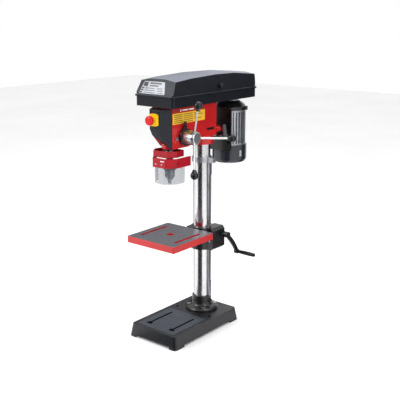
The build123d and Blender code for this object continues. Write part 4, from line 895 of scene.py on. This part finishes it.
def laid_on(name: str, node: str, corners: Sequence[Vector], towards: Vector, thick: float,
            cells: int = 14, rounding: float = 0.05) -> bpy.types.Object:
    """Makes a thin sticker that follows the surface of a CAD node.

    Args:
        name: The piece's name.
        node: The CAD node under it.
        corners: Its four corners in order, in front of the surface, in metres.
        towards: The way from the corners to the surface.
        thick: Its thickness in mm.
        cells: How many rows and columns it has.
        rounding: The share of its side that each corner's rounding takes.

    Returns:
        The object.
    """
    under = BVHTree.FromPolygons([v.co for v in frame["nodes"][node].data.vertices],
                                 [tuple(p.vertices) for p in frame["nodes"][node].data.polygons])
    bm = bmesh.new()
    grid = []
    for j in range(cells + 1):
        row = []
        for i in range(cells + 1):
            u, v = i / cells, j / cells
            if i in (0, cells) and j in (0, cells):
                pull = rounding * CORNER_PULL
                u, v = u + (pull if i == 0 else -pull), v + (pull if j == 0 else -pull)
            low, high = corners[0].lerp(corners[1], u), corners[3].lerp(corners[2], u)
            spot, normal, _, _ = under.ray_cast(low.lerp(high, v), towards)
            if normal.dot(towards) > 0:
                normal = -normal
            row.append((spot, spot + normal * thick * MM))
        grid.append(row)
    for side in (0, 1):
        verts = [[bm.verts.new(spots[side]) for spots in row] for row in grid]
        for low_row, high_row in zip(verts, verts[1:]):
            for i in range(cells):
                face = (low_row[i], low_row[i + 1], high_row[i + 1], high_row[i])
                bm.faces.new(face if side else tuple(reversed(face)))
        if side == 0:
            back = verts
    loop = ([(0, i) for i in range(cells)] + [(j, cells) for j in range(cells)]
            + [(cells, i) for i in range(cells, 0, -1)] + [(j, 0) for j in range(cells, 0, -1)])
    for (j0, i0), (j1, i1) in zip(loop, loop[1:] + loop[:1]):
        bm.faces.new((back[j0][i0], back[j1][i1], verts[j1][i1], verts[j0][i0]))
    return finish_mesh(name, bm, 50.0)


def sheet(name: str, corners: Sequence[Vector], normal: Vector, thick: float,
          cells: int = 6, rounding: float = 2.0) -> bpy.types.Object:
    """Makes a thin label or plate with rounded corners.

    Args:
        name: The piece's name.
        corners: Its four corners in order, in metres.
        normal: The way that it faces.
        thick: Its thickness in mm, outward from the corners.
        cells: Points in each rounded corner.
        rounding: The corners' radius in mm.

    Returns:
        The object.
    """
    rim = []
    for i, here in enumerate(corners):
        before = (corners[i - 1] - here).normalized() * rounding * MM
        after = (corners[(i + 1) % 4] - here).normalized() * rounding * MM
        for k in range(cells + 1):
            turn = math.pi / 2 * k / cells
            rim.append(here + before * (1 - math.sin(turn)) + after * (1 - math.cos(turn)))
    middle = sum(corners, Vector()) / 4
    out = normal.normalized() * thick * MM
    inset = [p + (middle - p).normalized() * 0.15 * MM + out for p in rim]
    bm = bmesh.new()
    loft(bm, [rim, [p + out * 0.6 for p in rim], inset])
    return finish_mesh(name, bm, 50.0)


# ------------------------------------------------------- finishes of this press


class Pattern(Enum):
    """The marks that a machined face shows."""

    LINES = "lines"
    RINGS = "rings"


@dataclass(frozen=True)
class MachinedTop(Enamel):
    """Painted casting whose upper face has been machined bare."""

    level: float = 0.0
    pattern: Pattern = Pattern.LINES
    centre: Point = (0.0, 0.0, 0.0)
    metal: Colour = shade("9a9ca3")
    shine: float = 0.34

    def build(self, g: Graph) -> bpy.types.Material:
        """Enamel below the level, and tool marks with light oil stains on it."""
        cloud = g.noise(10.0, 4.0, 0.6)
        skin = g.noise(170.0, 4.0, 0.62, offset=3.1)
        specks = g.noise(520.0, 3.0, 0.7, offset=7.7)
        tone = g.mix(cloud.step(0.3, 0.7), self.tinted(0.9), self.tinted(1.08))
        rub = g.edges(0.0012) * (specks * 0.6 + cloud * 0.4).step(0.5, 0.62) * self.wear
        paint = g.mix(rub, tone, self.under)
        if self.pattern is Pattern.RINGS:
            outward = g.radius(Axis.Z, self.centre)
            line = g.node("ShaderNodeCombineXYZ", {}, {0: outward, 1: 0.0, 2: 0.0})
            tool = g.node("ShaderNodeTexNoise", {}, {"Vector": line, "Scale": 950.0, "Detail": 3.0}, 0)
            sweep = g.node("ShaderNodeTexNoise", {}, {"Vector": line, "Scale": 110.0, "Detail": 2.0}, 0)
        else:
            tool = g.noise(1300.0, 2.0, 0.6, (0.02, 1.0, 1.0))
            sweep = g.noise(150.0, 2.0, 0.5, (0.02, 1.0, 1.0), 1.0)
        marks = tool * 0.55 + sweep * 0.45
        bare = g.mix(marks.step(0.32, 0.68), tuple(c * 0.74 for c in self.metal),
                     tuple(min(1.0, c * 1.16) for c in self.metal))
        oil = g.noise(22.0, 5.0, 0.65, offset=9.0).step(0.52, 0.74) * 0.3
        bare = g.mix(oil, bare, shade("57534f"))
        top = (g.axes()[2] > self.level * MM) * g.upward()
        bare_rough = marks * 0.18 + (self.shine - 0.09)
        rough = (top * bare_rough + (1.0 - top) * (cloud * 0.12 + self.rough)).clamp()
        height = skin * (1.0 - top) + marks * top * 0.16
        return g.surface(Base_Color=g.mix(top, paint, bare), Metallic=(top * 0.85).clamp(), Roughness=rough,
                         Normal=g.bump(height, self.cast))


RED = Enamel("red_enamel", shade("b21417"), rough=0.22, cast=0.0002, under=shade("7c4a42"), wear=0.35)
GUARD_RED = Moulded("guard_red", shade("98081a"), rough=0.26, grain=0.00003, scuff=0.2, coat=0.3)
BLACK_CAST = Enamel("black_cast_enamel", shade("0c0d10"), rough=0.34, cast=0.00045, wear=0.4, coat=0.15)
BLACK_SHEET = Enamel("black_sheet_enamel", shade("08090b"), rough=0.32, cast=0.00008, wear=0.4, coat=0.15)
# graphite plastic with a painted sky reflection on its upward faces
GRAPHITE = Moulded("graphite_plastic", shade("12141b"), painted_sky_reflection=0.42, rough=0.34, grain=0.00006, scuff=0.25)
PANEL_GREY = Moulded("panel_plastic", shade("1d1f27"), rough=0.4, grain=0.00006, scuff=0.25)
FAN_GREY = Enamel("fan_cover_enamel", shade("151a24"), rough=0.28, cast=0.00006, wear=0.25)
BLACK_PLASTIC = Moulded("black_plastic", shade("0f1013"), rough=0.24, grain=0.00002, scuff=0.2, coat=0.25)
YELLOW = Moulded("yellow_plastic", shade("e3b712"), rough=0.3, grain=0.00003, scuff=0.15)
STOP_RED = Moulded("stop_red_plastic", shade("bb1517"), rough=0.26, grain=0.00002, scuff=0.15, coat=0.3)
GO_GREEN = Moulded("start_green_plastic", shade("1c8a3e"), rough=0.28, grain=0.00002, scuff=0.15)
ALLOY = CastAlloy("cast_alloy", shade("b9bbc0"), rough=0.38)
FINNED = CastAlloy("fin_alloy", shade("9fa2a6"), rough=0.4, grain=0.0002)
LEVER_ALLOY = CastAlloy("lever_alloy", shade("8d9096"), rough=0.42)
CHROME = Plated("bright_chrome", shade("d9dadd"), rough=0.07)
ZINC = Plated("zinc_plate", shade("b7b8bb"), rough=0.2)
OXIDE = Plated("black_oxide", shade("25262a"), rough=0.3)
STEEL = Turned("turned_steel", shade("b4b5b9"), Axis.Z, (0.0, -0.205, 0.0))
CHUCK_STEEL = Turned("chuck_steel", shade("a3a5aa"), Axis.Z, (0.0, -0.205, 0.0), rough=0.24)
SLEEVE_STEEL = Turned("sleeve_steel", shade("4c4d52"), Axis.Z, (0.0, -0.205, 0.0), rough=0.32)
HUB_ALLOY = Turned("hub_alloy", shade("c3c5ca"), Axis.X, (0.0, -0.1775, 0.846), rough=0.28, pitch=0.0008)
COLUMN_STEEL = Plated("column_steel", shade("d2d2d4"), rough=0.17)
RACK_STEEL = Ground("rack_steel", shade("a9abb0"), Axis.Z, rough=0.3)
PULLEY_ALLOY = Turned("pulley_alloy", shade("b0b2b6"), Axis.Z, (0.0, -0.205, 0.0), rough=0.3)
BELT = Rubber("belt_rubber", shade("141414"))
WINDINGS = Turned("windings", shade("7a3a1c"), Axis.Z, (0.0, 0.193, 0.0), rough=0.4)
CLEAR = Clear("clear_sheet", shade("6d737c"), alpha=0.34)
BASE_TOP = MachinedTop("base_enamel", shade("0e1016"), rough=0.3, cast=0.0005, level=56.6,
                       metal=shade("565c66"), under=shade("5d6068"), shine=0.42)
TABLE_TOP = MachinedTop("table_enamel", shade("b3191c"), rough=0.24, cast=0.00025, level=438.9,
                        pattern=Pattern.RINGS, centre=(0.0, -0.205, 0.0), metal=shade("74747c"),
                        under=shade("7c4a42"), shine=0.36)


# ----------------------------------------------------------------- assemblies


@dataclass
class BaseUnit:
    """The cast base with its ground pad, and the holder that grips the column."""

    edge: float = 1.6

    def build(self) -> None:
        """Makes the castings and the fasteners."""
        eased("base", BASE_TOP, self.edge, 3)
        eased("column_holder", BLACK_CAST, 1.0)
        eased("holder_bolts", ZINC, 0.5)
        eased("holder_set_screw", OXIDE, 0.3)


@dataclass
class ColumnUnit:
    """The column, its rack and the collar over it."""

    def build(self) -> None:
        """Makes the ground tube and the rack."""
        dress("column", COLUMN_STEEL)
        eased("rack", RACK_STEEL, 0.25, 1)
        eased("rack_collar", ALLOY, 0.9)
        self.collar_screw()

    def collar_screw(self) -> None:
        """The small screw that holds the collar to the column."""
        low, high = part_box("rack_collar")
        middle = (low + high) / 2
        spots = [(Vector((0.0, low.y + 0.0006, middle.z)), Vector((0, -1, 0)))]
        screws("collar_screw", Screw(Drive.SOCKET, 4.0, 0.4), spots, OXIDE, "frame", "dark_steel")


@dataclass
class TableUnit:
    """The bracket that climbs the rack, its crank, and the work table."""

    def build(self) -> None:
        """Makes the bracket, crank, lever and table."""
        eased("table_bracket", BLACK_CAST, 1.2)
        eased("table", TABLE_TOP, 1.1)
        eased("tilt_bolt", ZINC, 0.6)
        eased("crank_arm", BLACK_CAST, 0.8)
        dress("crank_grip", BLACK_PLASTIC)
        eased("table_lock_lever", BLACK_CAST, 0.8)
        dress("worm_shaft", RACK_STEEL)
        eased("lift_pinion", RACK_STEEL, 0.25, 1)


@dataclass
class HeadUnit:
    """The head casting, its screws and the printed label on its side."""

    side: float = 52.0
    label_y: tuple[float, float] = (-245.0, -46.0)
    label_z: tuple[float, float] = (899.5, 942.0)
    strip_z: tuple[float, float] = (944.5, 958.0)

    def build(self) -> None:
        """Makes the head, its screws and labels."""
        eased("head", RED, 1.4, 3)
        eased("head_set_screws", OXIDE, 0.3, 1)
        eased("quill_stop_screw", ZINC, 0.5)
        eased("spring_cap", BLACK_SHEET, 1.0)
        dress("return_spring", STEEL)
        self.label()
        self.painted_recess_shade()

    def label(self) -> None:
        """The yellow label with plain rows, and the short bars above it."""
        dark = shade("3b3320")
        (y0, y1), (z0, z1) = self.label_y, self.label_z
        rows = []
        for i, share in enumerate((0.86, 0.94, 0.78, 0.9, 0.6)):
            top = z1 - 6.0 - 7.4 * i
            for start, end in ((0.05, 0.3), (0.33, 0.62), (0.65, share)):
                span = y1 - y0
                rows.append(Bar((y0 + span * start, y0 + span * end), (top - 2.6, top), dark))
        finish = Print("side_label", shade("e8b41a"), Axis.Y, tuple(rows))
        self.plate("side_label", (y0, y1), (z0, z1), finish)
        white = shade("e6dcd8")
        s0, s1 = self.strip_z
        bars = (Bar((-199.0, -193.0), (s0 + 2.5, s1 - 3.0), white),
                Bar((-185.0, -152.0), (s0 + 4.0, s1 - 4.5), white),
                Bar((-147.0, -116.0), (s0 + 4.0, s1 - 4.5), white))
        self.plate("side_strip", (y0, y1), self.strip_z, Print("side_strip", shade("9c1216"), Axis.Y, bars))

    def painted_recess_shade(self) -> None:
        """A black sheet on the floor of the recess round the column's set screws: painted shade in the
        recess.
        """
        x = self.side - 2.9
        corners = [mm(x, -32.5, 853.0), mm(x, 14.5, 853.0), mm(x, 14.5, 863.0), mm(x, -32.5, 863.0)]
        # painted shade: a black sheet where shade falls inside the recess
        made = sheet("painted_recess_shade", corners, Vector((1, 0, 0)), 0.4, rounding=1.0)
        fit(made, BLACK_SHEET, "frame", "dark_steel")

    def plate(self, name: str, across: tuple[float, float], height: tuple[float, float],
              finish: Finish) -> None:
        """Lays one thin label on the head's side.

        Args:
            name: The piece's name.
            across: Its ends along Y, in mm.
            height: Its ends along Z, in mm.
            finish: Its printed face.
        """
        (y0, y1), (z0, z1) = across, height
        corners = [mm(self.side, y0, z0), mm(self.side, y1, z0), mm(self.side, y1, z1), mm(self.side, y0, z1)]
        made = sheet(name, corners, Vector((1, 0, 0)), 0.35, rounding=1.5)
        fit(made, finish, "frame", "yellow_plastic")


@dataclass
class SwitchUnit:
    """The front panel and the switch with its flap and mushroom button."""

    def build(self) -> None:
        """Makes the panel, the switch and their screws."""
        eased("front_panel", PANEL_GREY, 2.2, 3)
        eased("switch_body", BLACK_PLASTIC, 0.8)
        eased("start_button", GO_GREEN, 0.7)
        eased("stop_button", STOP_RED, 0.7)
        eased("switch_flap", YELLOW, 1.0)
        eased("stop_mushroom", STOP_RED, 0.5)
        self.panel_screws()

    def panel_screws(self) -> None:
        """Cross-head screws at the panel's corners."""
        low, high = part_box("front_panel")
        front = Vector((0, -1, 0))
        spots = [(Vector((x, low.y, high.z - 0.009)), front) for x in (-0.021, 0.021)]
        screws("panel_screws", Screw(Drive.CROSS, 3.6, 2.0), spots, OXIDE, "frame", "dark_steel")


@dataclass
class FeedUnit:
    """The quill feed: hub, three levers with pear knobs, and depth stop."""

    axis: Vector = field(default_factory=lambda: mm(0, -177.5, 846))
    ring_face: float = 65.6
    ring_r: float = 34.0
    marks: int = 36

    def build(self) -> None:
        """Makes the turned hub and what is on it."""
        eased("feed_hub", HUB_ALLOY, 0.8)
        eased("feed_levers", CHROME, 0.3)
        eased("feed_knobs", BLACK_PLASTIC, 0.5)
        dress("feed_shaft", STEEL)
        eased("depth_ring", BLACK_SHEET, 0.8)
        eased("depth_lock", BLACK_PLASTIC, 0.8)
        self.graduations()
        self.ring_screw()

    def graduations(self) -> None:
        """Raised white marks round the depth ring."""
        bm = bmesh.new()
        for i in range(self.marks):
            turn = 2 * math.pi * i / self.marks
            length = 9.0 if i % 5 == 0 else 5.5
            out = Vector((0, math.sin(turn), math.cos(turn)))
            side = Vector((0, math.cos(turn), -math.sin(turn)))
            rim = self.axis + out * (self.ring_r - 0.15) * MM
            corners = [rim + side * s * MM + Vector(((self.ring_face - x) * MM, 0, 0))
                       for s, x in ((-0.35, 1.0), (0.35, 1.0), (0.35, 1.0 + length), (-0.35, 1.0 + length))]
            loft(bm, [corners, [p + out * 0.4 * MM for p in corners]])
        fit(finish_mesh("depth_marks", bm, 30.0), ZINC, "depth_stop", "bright_steel")

    def ring_screw(self) -> None:
        """The small screw in the ring's rim."""
        turn = math.radians(-62.0)
        out = Vector((0, math.sin(turn), math.cos(turn)))
        seat = self.axis + out * (self.ring_r - 0.1) * MM + Vector((59.5 * MM, 0, 0))
        screws("ring_screw", Screw(Drive.CROSS, 2.8, 1.4), [(seat, out)], ZINC, "depth_stop", "bright_steel")


@dataclass
class ChuckUnit:
    """The quill, the spindle and the keyed chuck with its toothed sleeve."""

    teeth: int = 30
    tooth_deep: float = 1.6
    tooth_tall: float = 7.5
    knurls: int = 90
    knurl_deep: float = 0.35
    sleeve_r: float = 26.0
    bore: float = 22.2
    facets: int = 360

    def build(self) -> None:
        """Makes the turned parts and the sleeve."""
        dress("quill", STEEL)
        dress("quill_bearings", STEEL)
        dress("spindle", STEEL)
        eased("chuck_body", CHUCK_STEEL, 0.6)
        for i in (1, 2, 3):
            eased(f"chuck_jaw_{i}", STEEL, 0.25)
        self.sleeve()

    def sleeve(self) -> None:
        """The key sleeve: bevel teeth below, and a knurled band above."""
        low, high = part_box("chuck_sleeve")
        tall = (high.z - low.z) / MM
        bore, r = self.bore, self.sleeve_r

        def wave(turn: float, height: float) -> float:
            """Teeth near the foot and a fine knurl round the middle."""
            if height < self.tooth_tall:
                fade = 1.0 if height > 0.1 else 0.6
                return -self.tooth_deep * (0.5 - 0.5 * math.cos(self.teeth * turn)) * fade
            if 10.5 < height < tall - 3.5:
                return -self.knurl_deep * (0.5 - 0.5 * math.cos(self.knurls * turn))
            return 0.0

        toothed = [(bore, 0.0), (r - 2.6, 0.0), (r - 0.2, 6.0), (r - 0.2, 7.4)]
        waist = [(r - 1.4, 7.6), (r - 1.4, 9.6), (r - 0.1, 10.4)]
        band = [(r, 11.0), (r, tall - 4.0), (r - 0.2, tall - 3.2), (r - 1.2, tall - 0.8)]
        profile = toothed + waist + band + [(r - 1.8, tall), (bore, tall)]
        bm = bmesh.new()
        middle = (low + high) / 2
        foot = Vector((middle.x, middle.y, low.z))
        rings = []
        for radius, height in profile:
            ring = []
            for i in range(self.facets):
                turn = 2 * math.pi * i / self.facets
                reach = radius + (wave(turn, height) if radius > bore else 0.0)
                ring.append(foot + mm(reach * math.cos(turn), reach * math.sin(turn), height))
            rings.append(ring)
        loft(bm, rings + [rings[0]], closed=False)
        bmesh.ops.remove_doubles(bm, verts=bm.verts, dist=MERGE_GAP)
        made = fit(finish_mesh("knurled_sleeve", bm, 30.0), SLEEVE_STEEL, "sleeve", "dark_steel")
        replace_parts(made, "chuck_sleeve")


@dataclass
class GuardUnit:
    """The red clamp and frame with the clear shield that they carry."""

    def build(self) -> None:
        """Makes the guard and its screws."""
        eased("guard_clamp", GUARD_RED, 0.8)
        eased("guard_frame", GUARD_RED, 0.8)
        eased("guard_shield", CLEAR, 0.25, 1)
        front = Vector((0, -1, 0))
        low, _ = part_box("guard_frame")
        spots = [(mm(x, low.y / MM, 741.0), front) for x in (-18.0, 12.0)]
        screws("guard_screws", Screw(Drive.CROSS, 3.4, 1.6), spots, ZINC, "guard", "bright_steel")


@dataclass
class BeltCover:
    """The tray, the hinged lid with its knob and sticker, and the drive inside."""

    front: float = -293.0
    lip: float = 1013.0
    lean: float = 0.5
    sticker_low: tuple[float, float, float] = (-81.0, 52.0, 1018.8)
    sticker_high: tuple[float, float, float] = (-67.0, 39.0, 1064.5)
    knob_spot: Point = (94.5, -3.0, 1034.0)
    knob_lean: float = 0.17
    flutes: int = 16
    flute_deep: float = 0.5
    knob_facets: int = 96

    def build(self) -> None:
        """Makes the cover and what it hides."""
        eased("belt_tray", GRAPHITE, 1.2)
        eased("lid", GRAPHITE, 2.0, 3, 14.0)
        self.sticker()
        self.knob()
        for node in ("spindle_pulley", "idler_pulley", "motor_pulley"):
            dress(node, PULLEY_ALLOY)
        dress("pulley_bearings", STEEL)
        eased("idler_arm", BLACK_CAST, 0.8)
        for node in ("front_belt", "rear_belt"):
            dress(node, BELT)

    def on_slope(self, x: float, z: float) -> Vector:
        """A point on the lid's front slope, from its X and Z in mm."""
        return mm(x, self.front + (z - self.lip) * self.lean, z)

    def sticker(self) -> None:
        """The silver sticker on the front slope, with plain shapes on it."""
        dark, grey = shade("0e0f12"), shade("303338")
        rows = [Bar((-66.0, -44.0), (1046.0, 1061.0), dark), Bar((-34.0, 24.0), (1055.0, 1061.5), dark),
                Bar((-34.0, 12.0), (1046.5, 1051.5), dark)]
        for i in range(3):
            low = 1037.0 - 8.0 * i
            rows.append(Bar((-72.0 - 3 * i, -60.0 - 3 * i), (low, low + 5.0), dark))
            rows.append(Bar((-52.0, -6.0 + 5 * i), (low + 1.0, low + 4.0), grey))
            rows.append(Bar((6.0 + 4 * i, 36.0 + 3 * i), (low + 1.0, low + 4.0), grey))
        finish = Print("front_sticker", shade("83868d"), Axis.X, tuple(rows), rough=0.3, metallic=0.3)
        (a0, a1, low), (b0, b1, high) = self.sticker_low, self.sticker_high
        ahead = mm(0, -40, 0)
        corners = [self.on_slope(a0, low) + ahead, self.on_slope(a1, low) + ahead,
                   self.on_slope(b1, high) + ahead, self.on_slope(b0, high) + ahead]
        made = laid_on("front_sticker", "lid", corners, Vector((0, 1, 0)), 0.6)
        fit(made, finish, "cover_lid", "graphite_plastic")

    def knob(self) -> None:
        """The lid's turned knob, with a fluted grip and its screw."""
        out = Vector((1, 0, self.knob_lean)).normalized()

        def flute(turn: float, height: float) -> float:
            """Shallow flutes round the grip."""
            deep = -self.flute_deep * (0.5 - 0.5 * math.cos(self.flutes * turn))
            return deep if 5.0 < height < 12.0 else 0.0

        neck = [(5.5, -2.5), (5.5, 3.0), (7.5, 4.4), (9.6, 5.2)]
        grip = [(10.2, 6.5), (10.2, 11.0), (9.4, 12.4)]
        crown = [(7.6, 13.4), (3.0, 13.8), (2.4, 13.0)]
        bm = bmesh.new()
        lathe(bm, neck + grip + crown, mm(*self.knob_spot), out, self.knob_facets, flute)
        fit(finish_mesh("lid_knob", bm, 34.0), BLACK_PLASTIC, "cover_lid", "black_plastic")


@dataclass
class MotorUnit:
    """The motor on its sliding plate, with its bolts and cover plate."""

    axis_y: float = 193.0
    bolt_r: float = 70.5
    first_bolt: float = 20.0
    bolt_z: float = 913.5
    plate_x: float = 64.0
    plate_y: float = 98.0
    plate_z: tuple[float, float] = (790.0, 900.0)
    rating_half: float = 30.0
    rating_z: tuple[float, float] = (815.0, 875.0)
    clip_turn: float = -14.0
    clip_r: float = 74.6

    def build(self) -> None:
        """Makes the housing, the plate and their fasteners."""
        eased("motor_plate", BLACK_SHEET, 0.9)
        eased("motor_shell", FINNED, 0.35, 1)
        eased("motor_bell", BLACK_SHEET, 1.0)
        eased("motor_fan_cover", FAN_GREY, 0.9)
        eased("tension_lever", LEVER_ALLOY, 0.8)
        dress("motor_stator", WINDINGS)
        dress("motor_rotor", STEEL)
        dress("motor_fan", BLACK_PLASTIC)
        self.through_bolts()
        self.plate_bolts()
        self.rating_plate()
        self.cover_clip()

    def through_bolts(self) -> None:
        """The four long bolts that hold the motor's ends together."""
        spots = []
        for i in range(4):
            turn = math.radians(self.first_bolt + 90 * i)
            x, y = self.bolt_r * math.cos(turn), self.axis_y + self.bolt_r * math.sin(turn)
            spots.append((mm(x, y, self.bolt_z), -UP))
        bolts = Screw(Drive.HEXAGON, 5.0, 3.2, 0.0)
        screws("motor_bolts", bolts, spots, ZINC, "motor_slide_body", "dark_steel")

    def plate_bolts(self) -> None:
        """Hexagon bolts that hold the motor to its plate."""
        face = Vector((0, -1, 0))
        spots = [(mm(x, self.plate_y, z), face) for x in (-self.plate_x, self.plate_x) for z in self.plate_z]
        bolts = Screw(Drive.HEXAGON, 6.0, 4.0, 9.0)
        screws("plate_bolts", bolts, spots, OXIDE, "motor_slide_body", "dark_steel")

    def rating_plate(self) -> None:
        """A plain metal plate with rows and no words, on the motor's back."""
        dark = shade("2c2e33")
        rows = [Bar((-24.0, 24.0 - 5 * (i % 3)), (857.0 - 7 * i, 858.4 - 7 * i), dark) for i in range(6)]
        rows.append(Bar((-24.0, 24.0), (866.0, 871.0), dark))
        finish = Print("rating_plate", shade("b4b6ba"), Axis.X, tuple(rows), rough=0.3, metallic=0.6)
        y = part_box("motor_shell")[1].y / MM - 0.4
        half, (low, high) = self.rating_half, self.rating_z
        corners = [mm(half, y, low), mm(-half, y, low), mm(-half, y, high), mm(half, y, high)]
        made = sheet("rating_plate", corners, Vector((0, 1, 0)), 0.4, rounding=3.0)
        fit(made, finish, "motor_slide_body", "cast_alloy")

    def cover_clip(self) -> None:
        """The pale clip on the side of the fan cover."""
        bm = bmesh.new()
        turn = math.radians(self.clip_turn)
        out = Vector((math.cos(turn), math.sin(turn), 0))
        side = Vector((-math.sin(turn), math.cos(turn), 0))
        seat = mm(0, self.axis_y, 0) + out * self.clip_r * MM
        for low, high, half, thick in ((716.0, 742.0, 5.5, 0.9), (722.0, 729.0, 2.6, 1.8)):
            face = [seat + side * u * MM + Vector((0, 0, z * MM))
                    for u, z in ((-half, low), (half, low), (half, high), (-half, high))]
            loft(bm, [[p - out * 1.5 * MM for p in face], face, [p + out * thick * 0.7 * MM for p in face]])
        fit(finish_mesh("cover_clip", bm, 30.0), ALLOY, "motor_slide_body", "cast_alloy")


@dataclass
class Studio:
    """A pale floor, soft light and the camera."""

    azimuth: float = 38.99
    height: float = 14.4
    lens: float = 67.07
    eye: Point = (1.9337, -2.4014, 1.3355)
    card_spots: tuple[tuple[float, float], ...] = ((13.0, 30.0), (150.0, 20.0), (-118.0, 24.0))
    card_profile: tuple[tuple[float, float], ...] = ((0.36, 0.002), (3.4, 0.002), (3.4, 1.7))
    card_steps: int = 12

    def build(self) -> None:
        """Sets up the floor, the lights, the dark cards and the camera."""
        bpy.context.scene.view_settings.view_transform = "Standard"
        self.cards()
        self.floor()
        self.world()
        self.lights()
        self.camera()

    def floor(self) -> None:
        """A large pale square sheet under the press."""
        g = Graph("studio_floor")
        cloud = g.noise(1.2, 3.0)
        tone = g.mix(cloud.step(0.3, 0.7), shade("f2f2f2"), shade("f6f6f6"))
        floor = new_object("studio_floor", self.sweep())
        floor.data.materials.append(g.surface(Base_Color=tone, Roughness=(cloud * 0.1 + 0.7).clamp()))

    @staticmethod
    def sweep() -> bpy.types.Mesh:
        """A square sheet, level with the base's underside."""
        bm = bmesh.new()
        cells, half = 8, 9.0
        grid = [[bm.verts.new((x * half * 2 / cells - half, y * half * 2 / cells - half, -0.0005))
                 for x in range(cells + 1)] for y in range(cells + 1)]
        for low, high in zip(grid, grid[1:]):
            for i in range(cells):
                bm.faces.new((low[i], low[i + 1], high[i + 1], high[i]))
        mesh = bpy.data.meshes.new("studio_floor")
        bm.to_mesh(mesh)
        bm.free()
        return mesh

    @staticmethod
    def world() -> None:
        """An even white surround."""
        world = bpy.data.worlds.new("white_room")
        world.use_nodes = True
        world.node_tree.nodes["Background"].inputs["Color"].default_value = (1.0, 1.0, 1.0, 1.0)
        world.node_tree.nodes["Background"].inputs["Strength"].default_value = 1.0
        bpy.context.scene.world = world

    def cards(self) -> None:
        """Curved black cards, seen only in reflections, for dark bands in the metal."""
        g = Graph("black_card")
        black = g.surface(Base_Color=g.mix(g.noise(60.0), shade("050505"), shade("0b0b0b")), Roughness=0.95)
        for i, (middle, spread) in enumerate(self.card_spots):
            bm = bmesh.new()
            rows = []
            for step in range(self.card_steps + 1):
                turn = math.radians(middle + spread * (2 * step / self.card_steps - 1))
                out = Vector((math.sin(turn), -math.cos(turn), 0))
                rows.append([bm.verts.new(out * away + UP * level) for away, level in self.card_profile])
            for low, high in zip(rows, rows[1:]):
                for k in range(len(low) - 1):
                    bm.faces.new((low[k], low[k + 1], high[k + 1], high[k]))
            card = finish_mesh(f"black_card_{i + 1}", bm)
            card.data.materials.append(black)
            card.visible_camera = card.visible_diffuse = card.visible_shadow = False

    def lights(self) -> None:
        """A large key from the front left, a fill from the right and a top light."""
        self.area("key", (-1.7, -2.6, 2.3), 1.6, 60.0)
        self.area("fill", (2.8, -0.8, 1.6), 1.2, 22.0)
        self.area("top", (0.0, 0.4, 3.2), 2.2, 45.0)

    @staticmethod
    def area(name: str, spot: Point, size: float, power: float) -> None:
        """Adds one soft light that looks at the middle of the press.

        Args:
            name: The light's name.
            spot: Where it hangs, in metres.
            size: The side of its square, in metres.
            power: Its power in watts.
        """
        data = bpy.data.lights.new(name, "AREA")
        data.shape = "SQUARE"
        data.size = size
        data.energy = power
        lamp = bpy.data.objects.new(name, data)
        bpy.context.scene.collection.objects.link(lamp)
        lamp.location = spot
        lamp.rotation_euler = (Vector(spot) - Vector((0, -0.1, 0.6))).to_track_quat("Z", "Y").to_euler()

    def camera(self) -> None:
        """The camera, level and at the height of the belt cover."""
        turn, rise = math.radians(self.azimuth), math.radians(self.height)
        back = Vector((math.sin(turn) * math.cos(rise), -math.cos(turn) * math.cos(rise), math.sin(rise)))
        data = bpy.data.cameras.new("camera")
        data.lens = self.lens
        data.sensor_width = 36.0
        data.clip_end = 60.0
        camera = bpy.data.objects.new("camera", data)
        bpy.context.scene.collection.objects.link(camera)
        camera.location = self.eye
        camera.rotation_euler = back.to_track_quat("Z", "Y").to_euler()
        bpy.context.scene.camera = camera


def main() -> None:
    """Builds the press and the studio."""
    logging.basicConfig(level=logging.INFO, format="%(name)s: %(message)s")
    for unit in (BaseUnit(), ColumnUnit(), TableUnit(), HeadUnit(), SwitchUnit(), FeedUnit(), ChuckUnit(),
                 GuardUnit(), BeltCover(), MotorUnit(), Studio()):
        LOG.info("building %s", type(unit).__name__)
        unit.build()


if __name__ == "__main__":
    main()
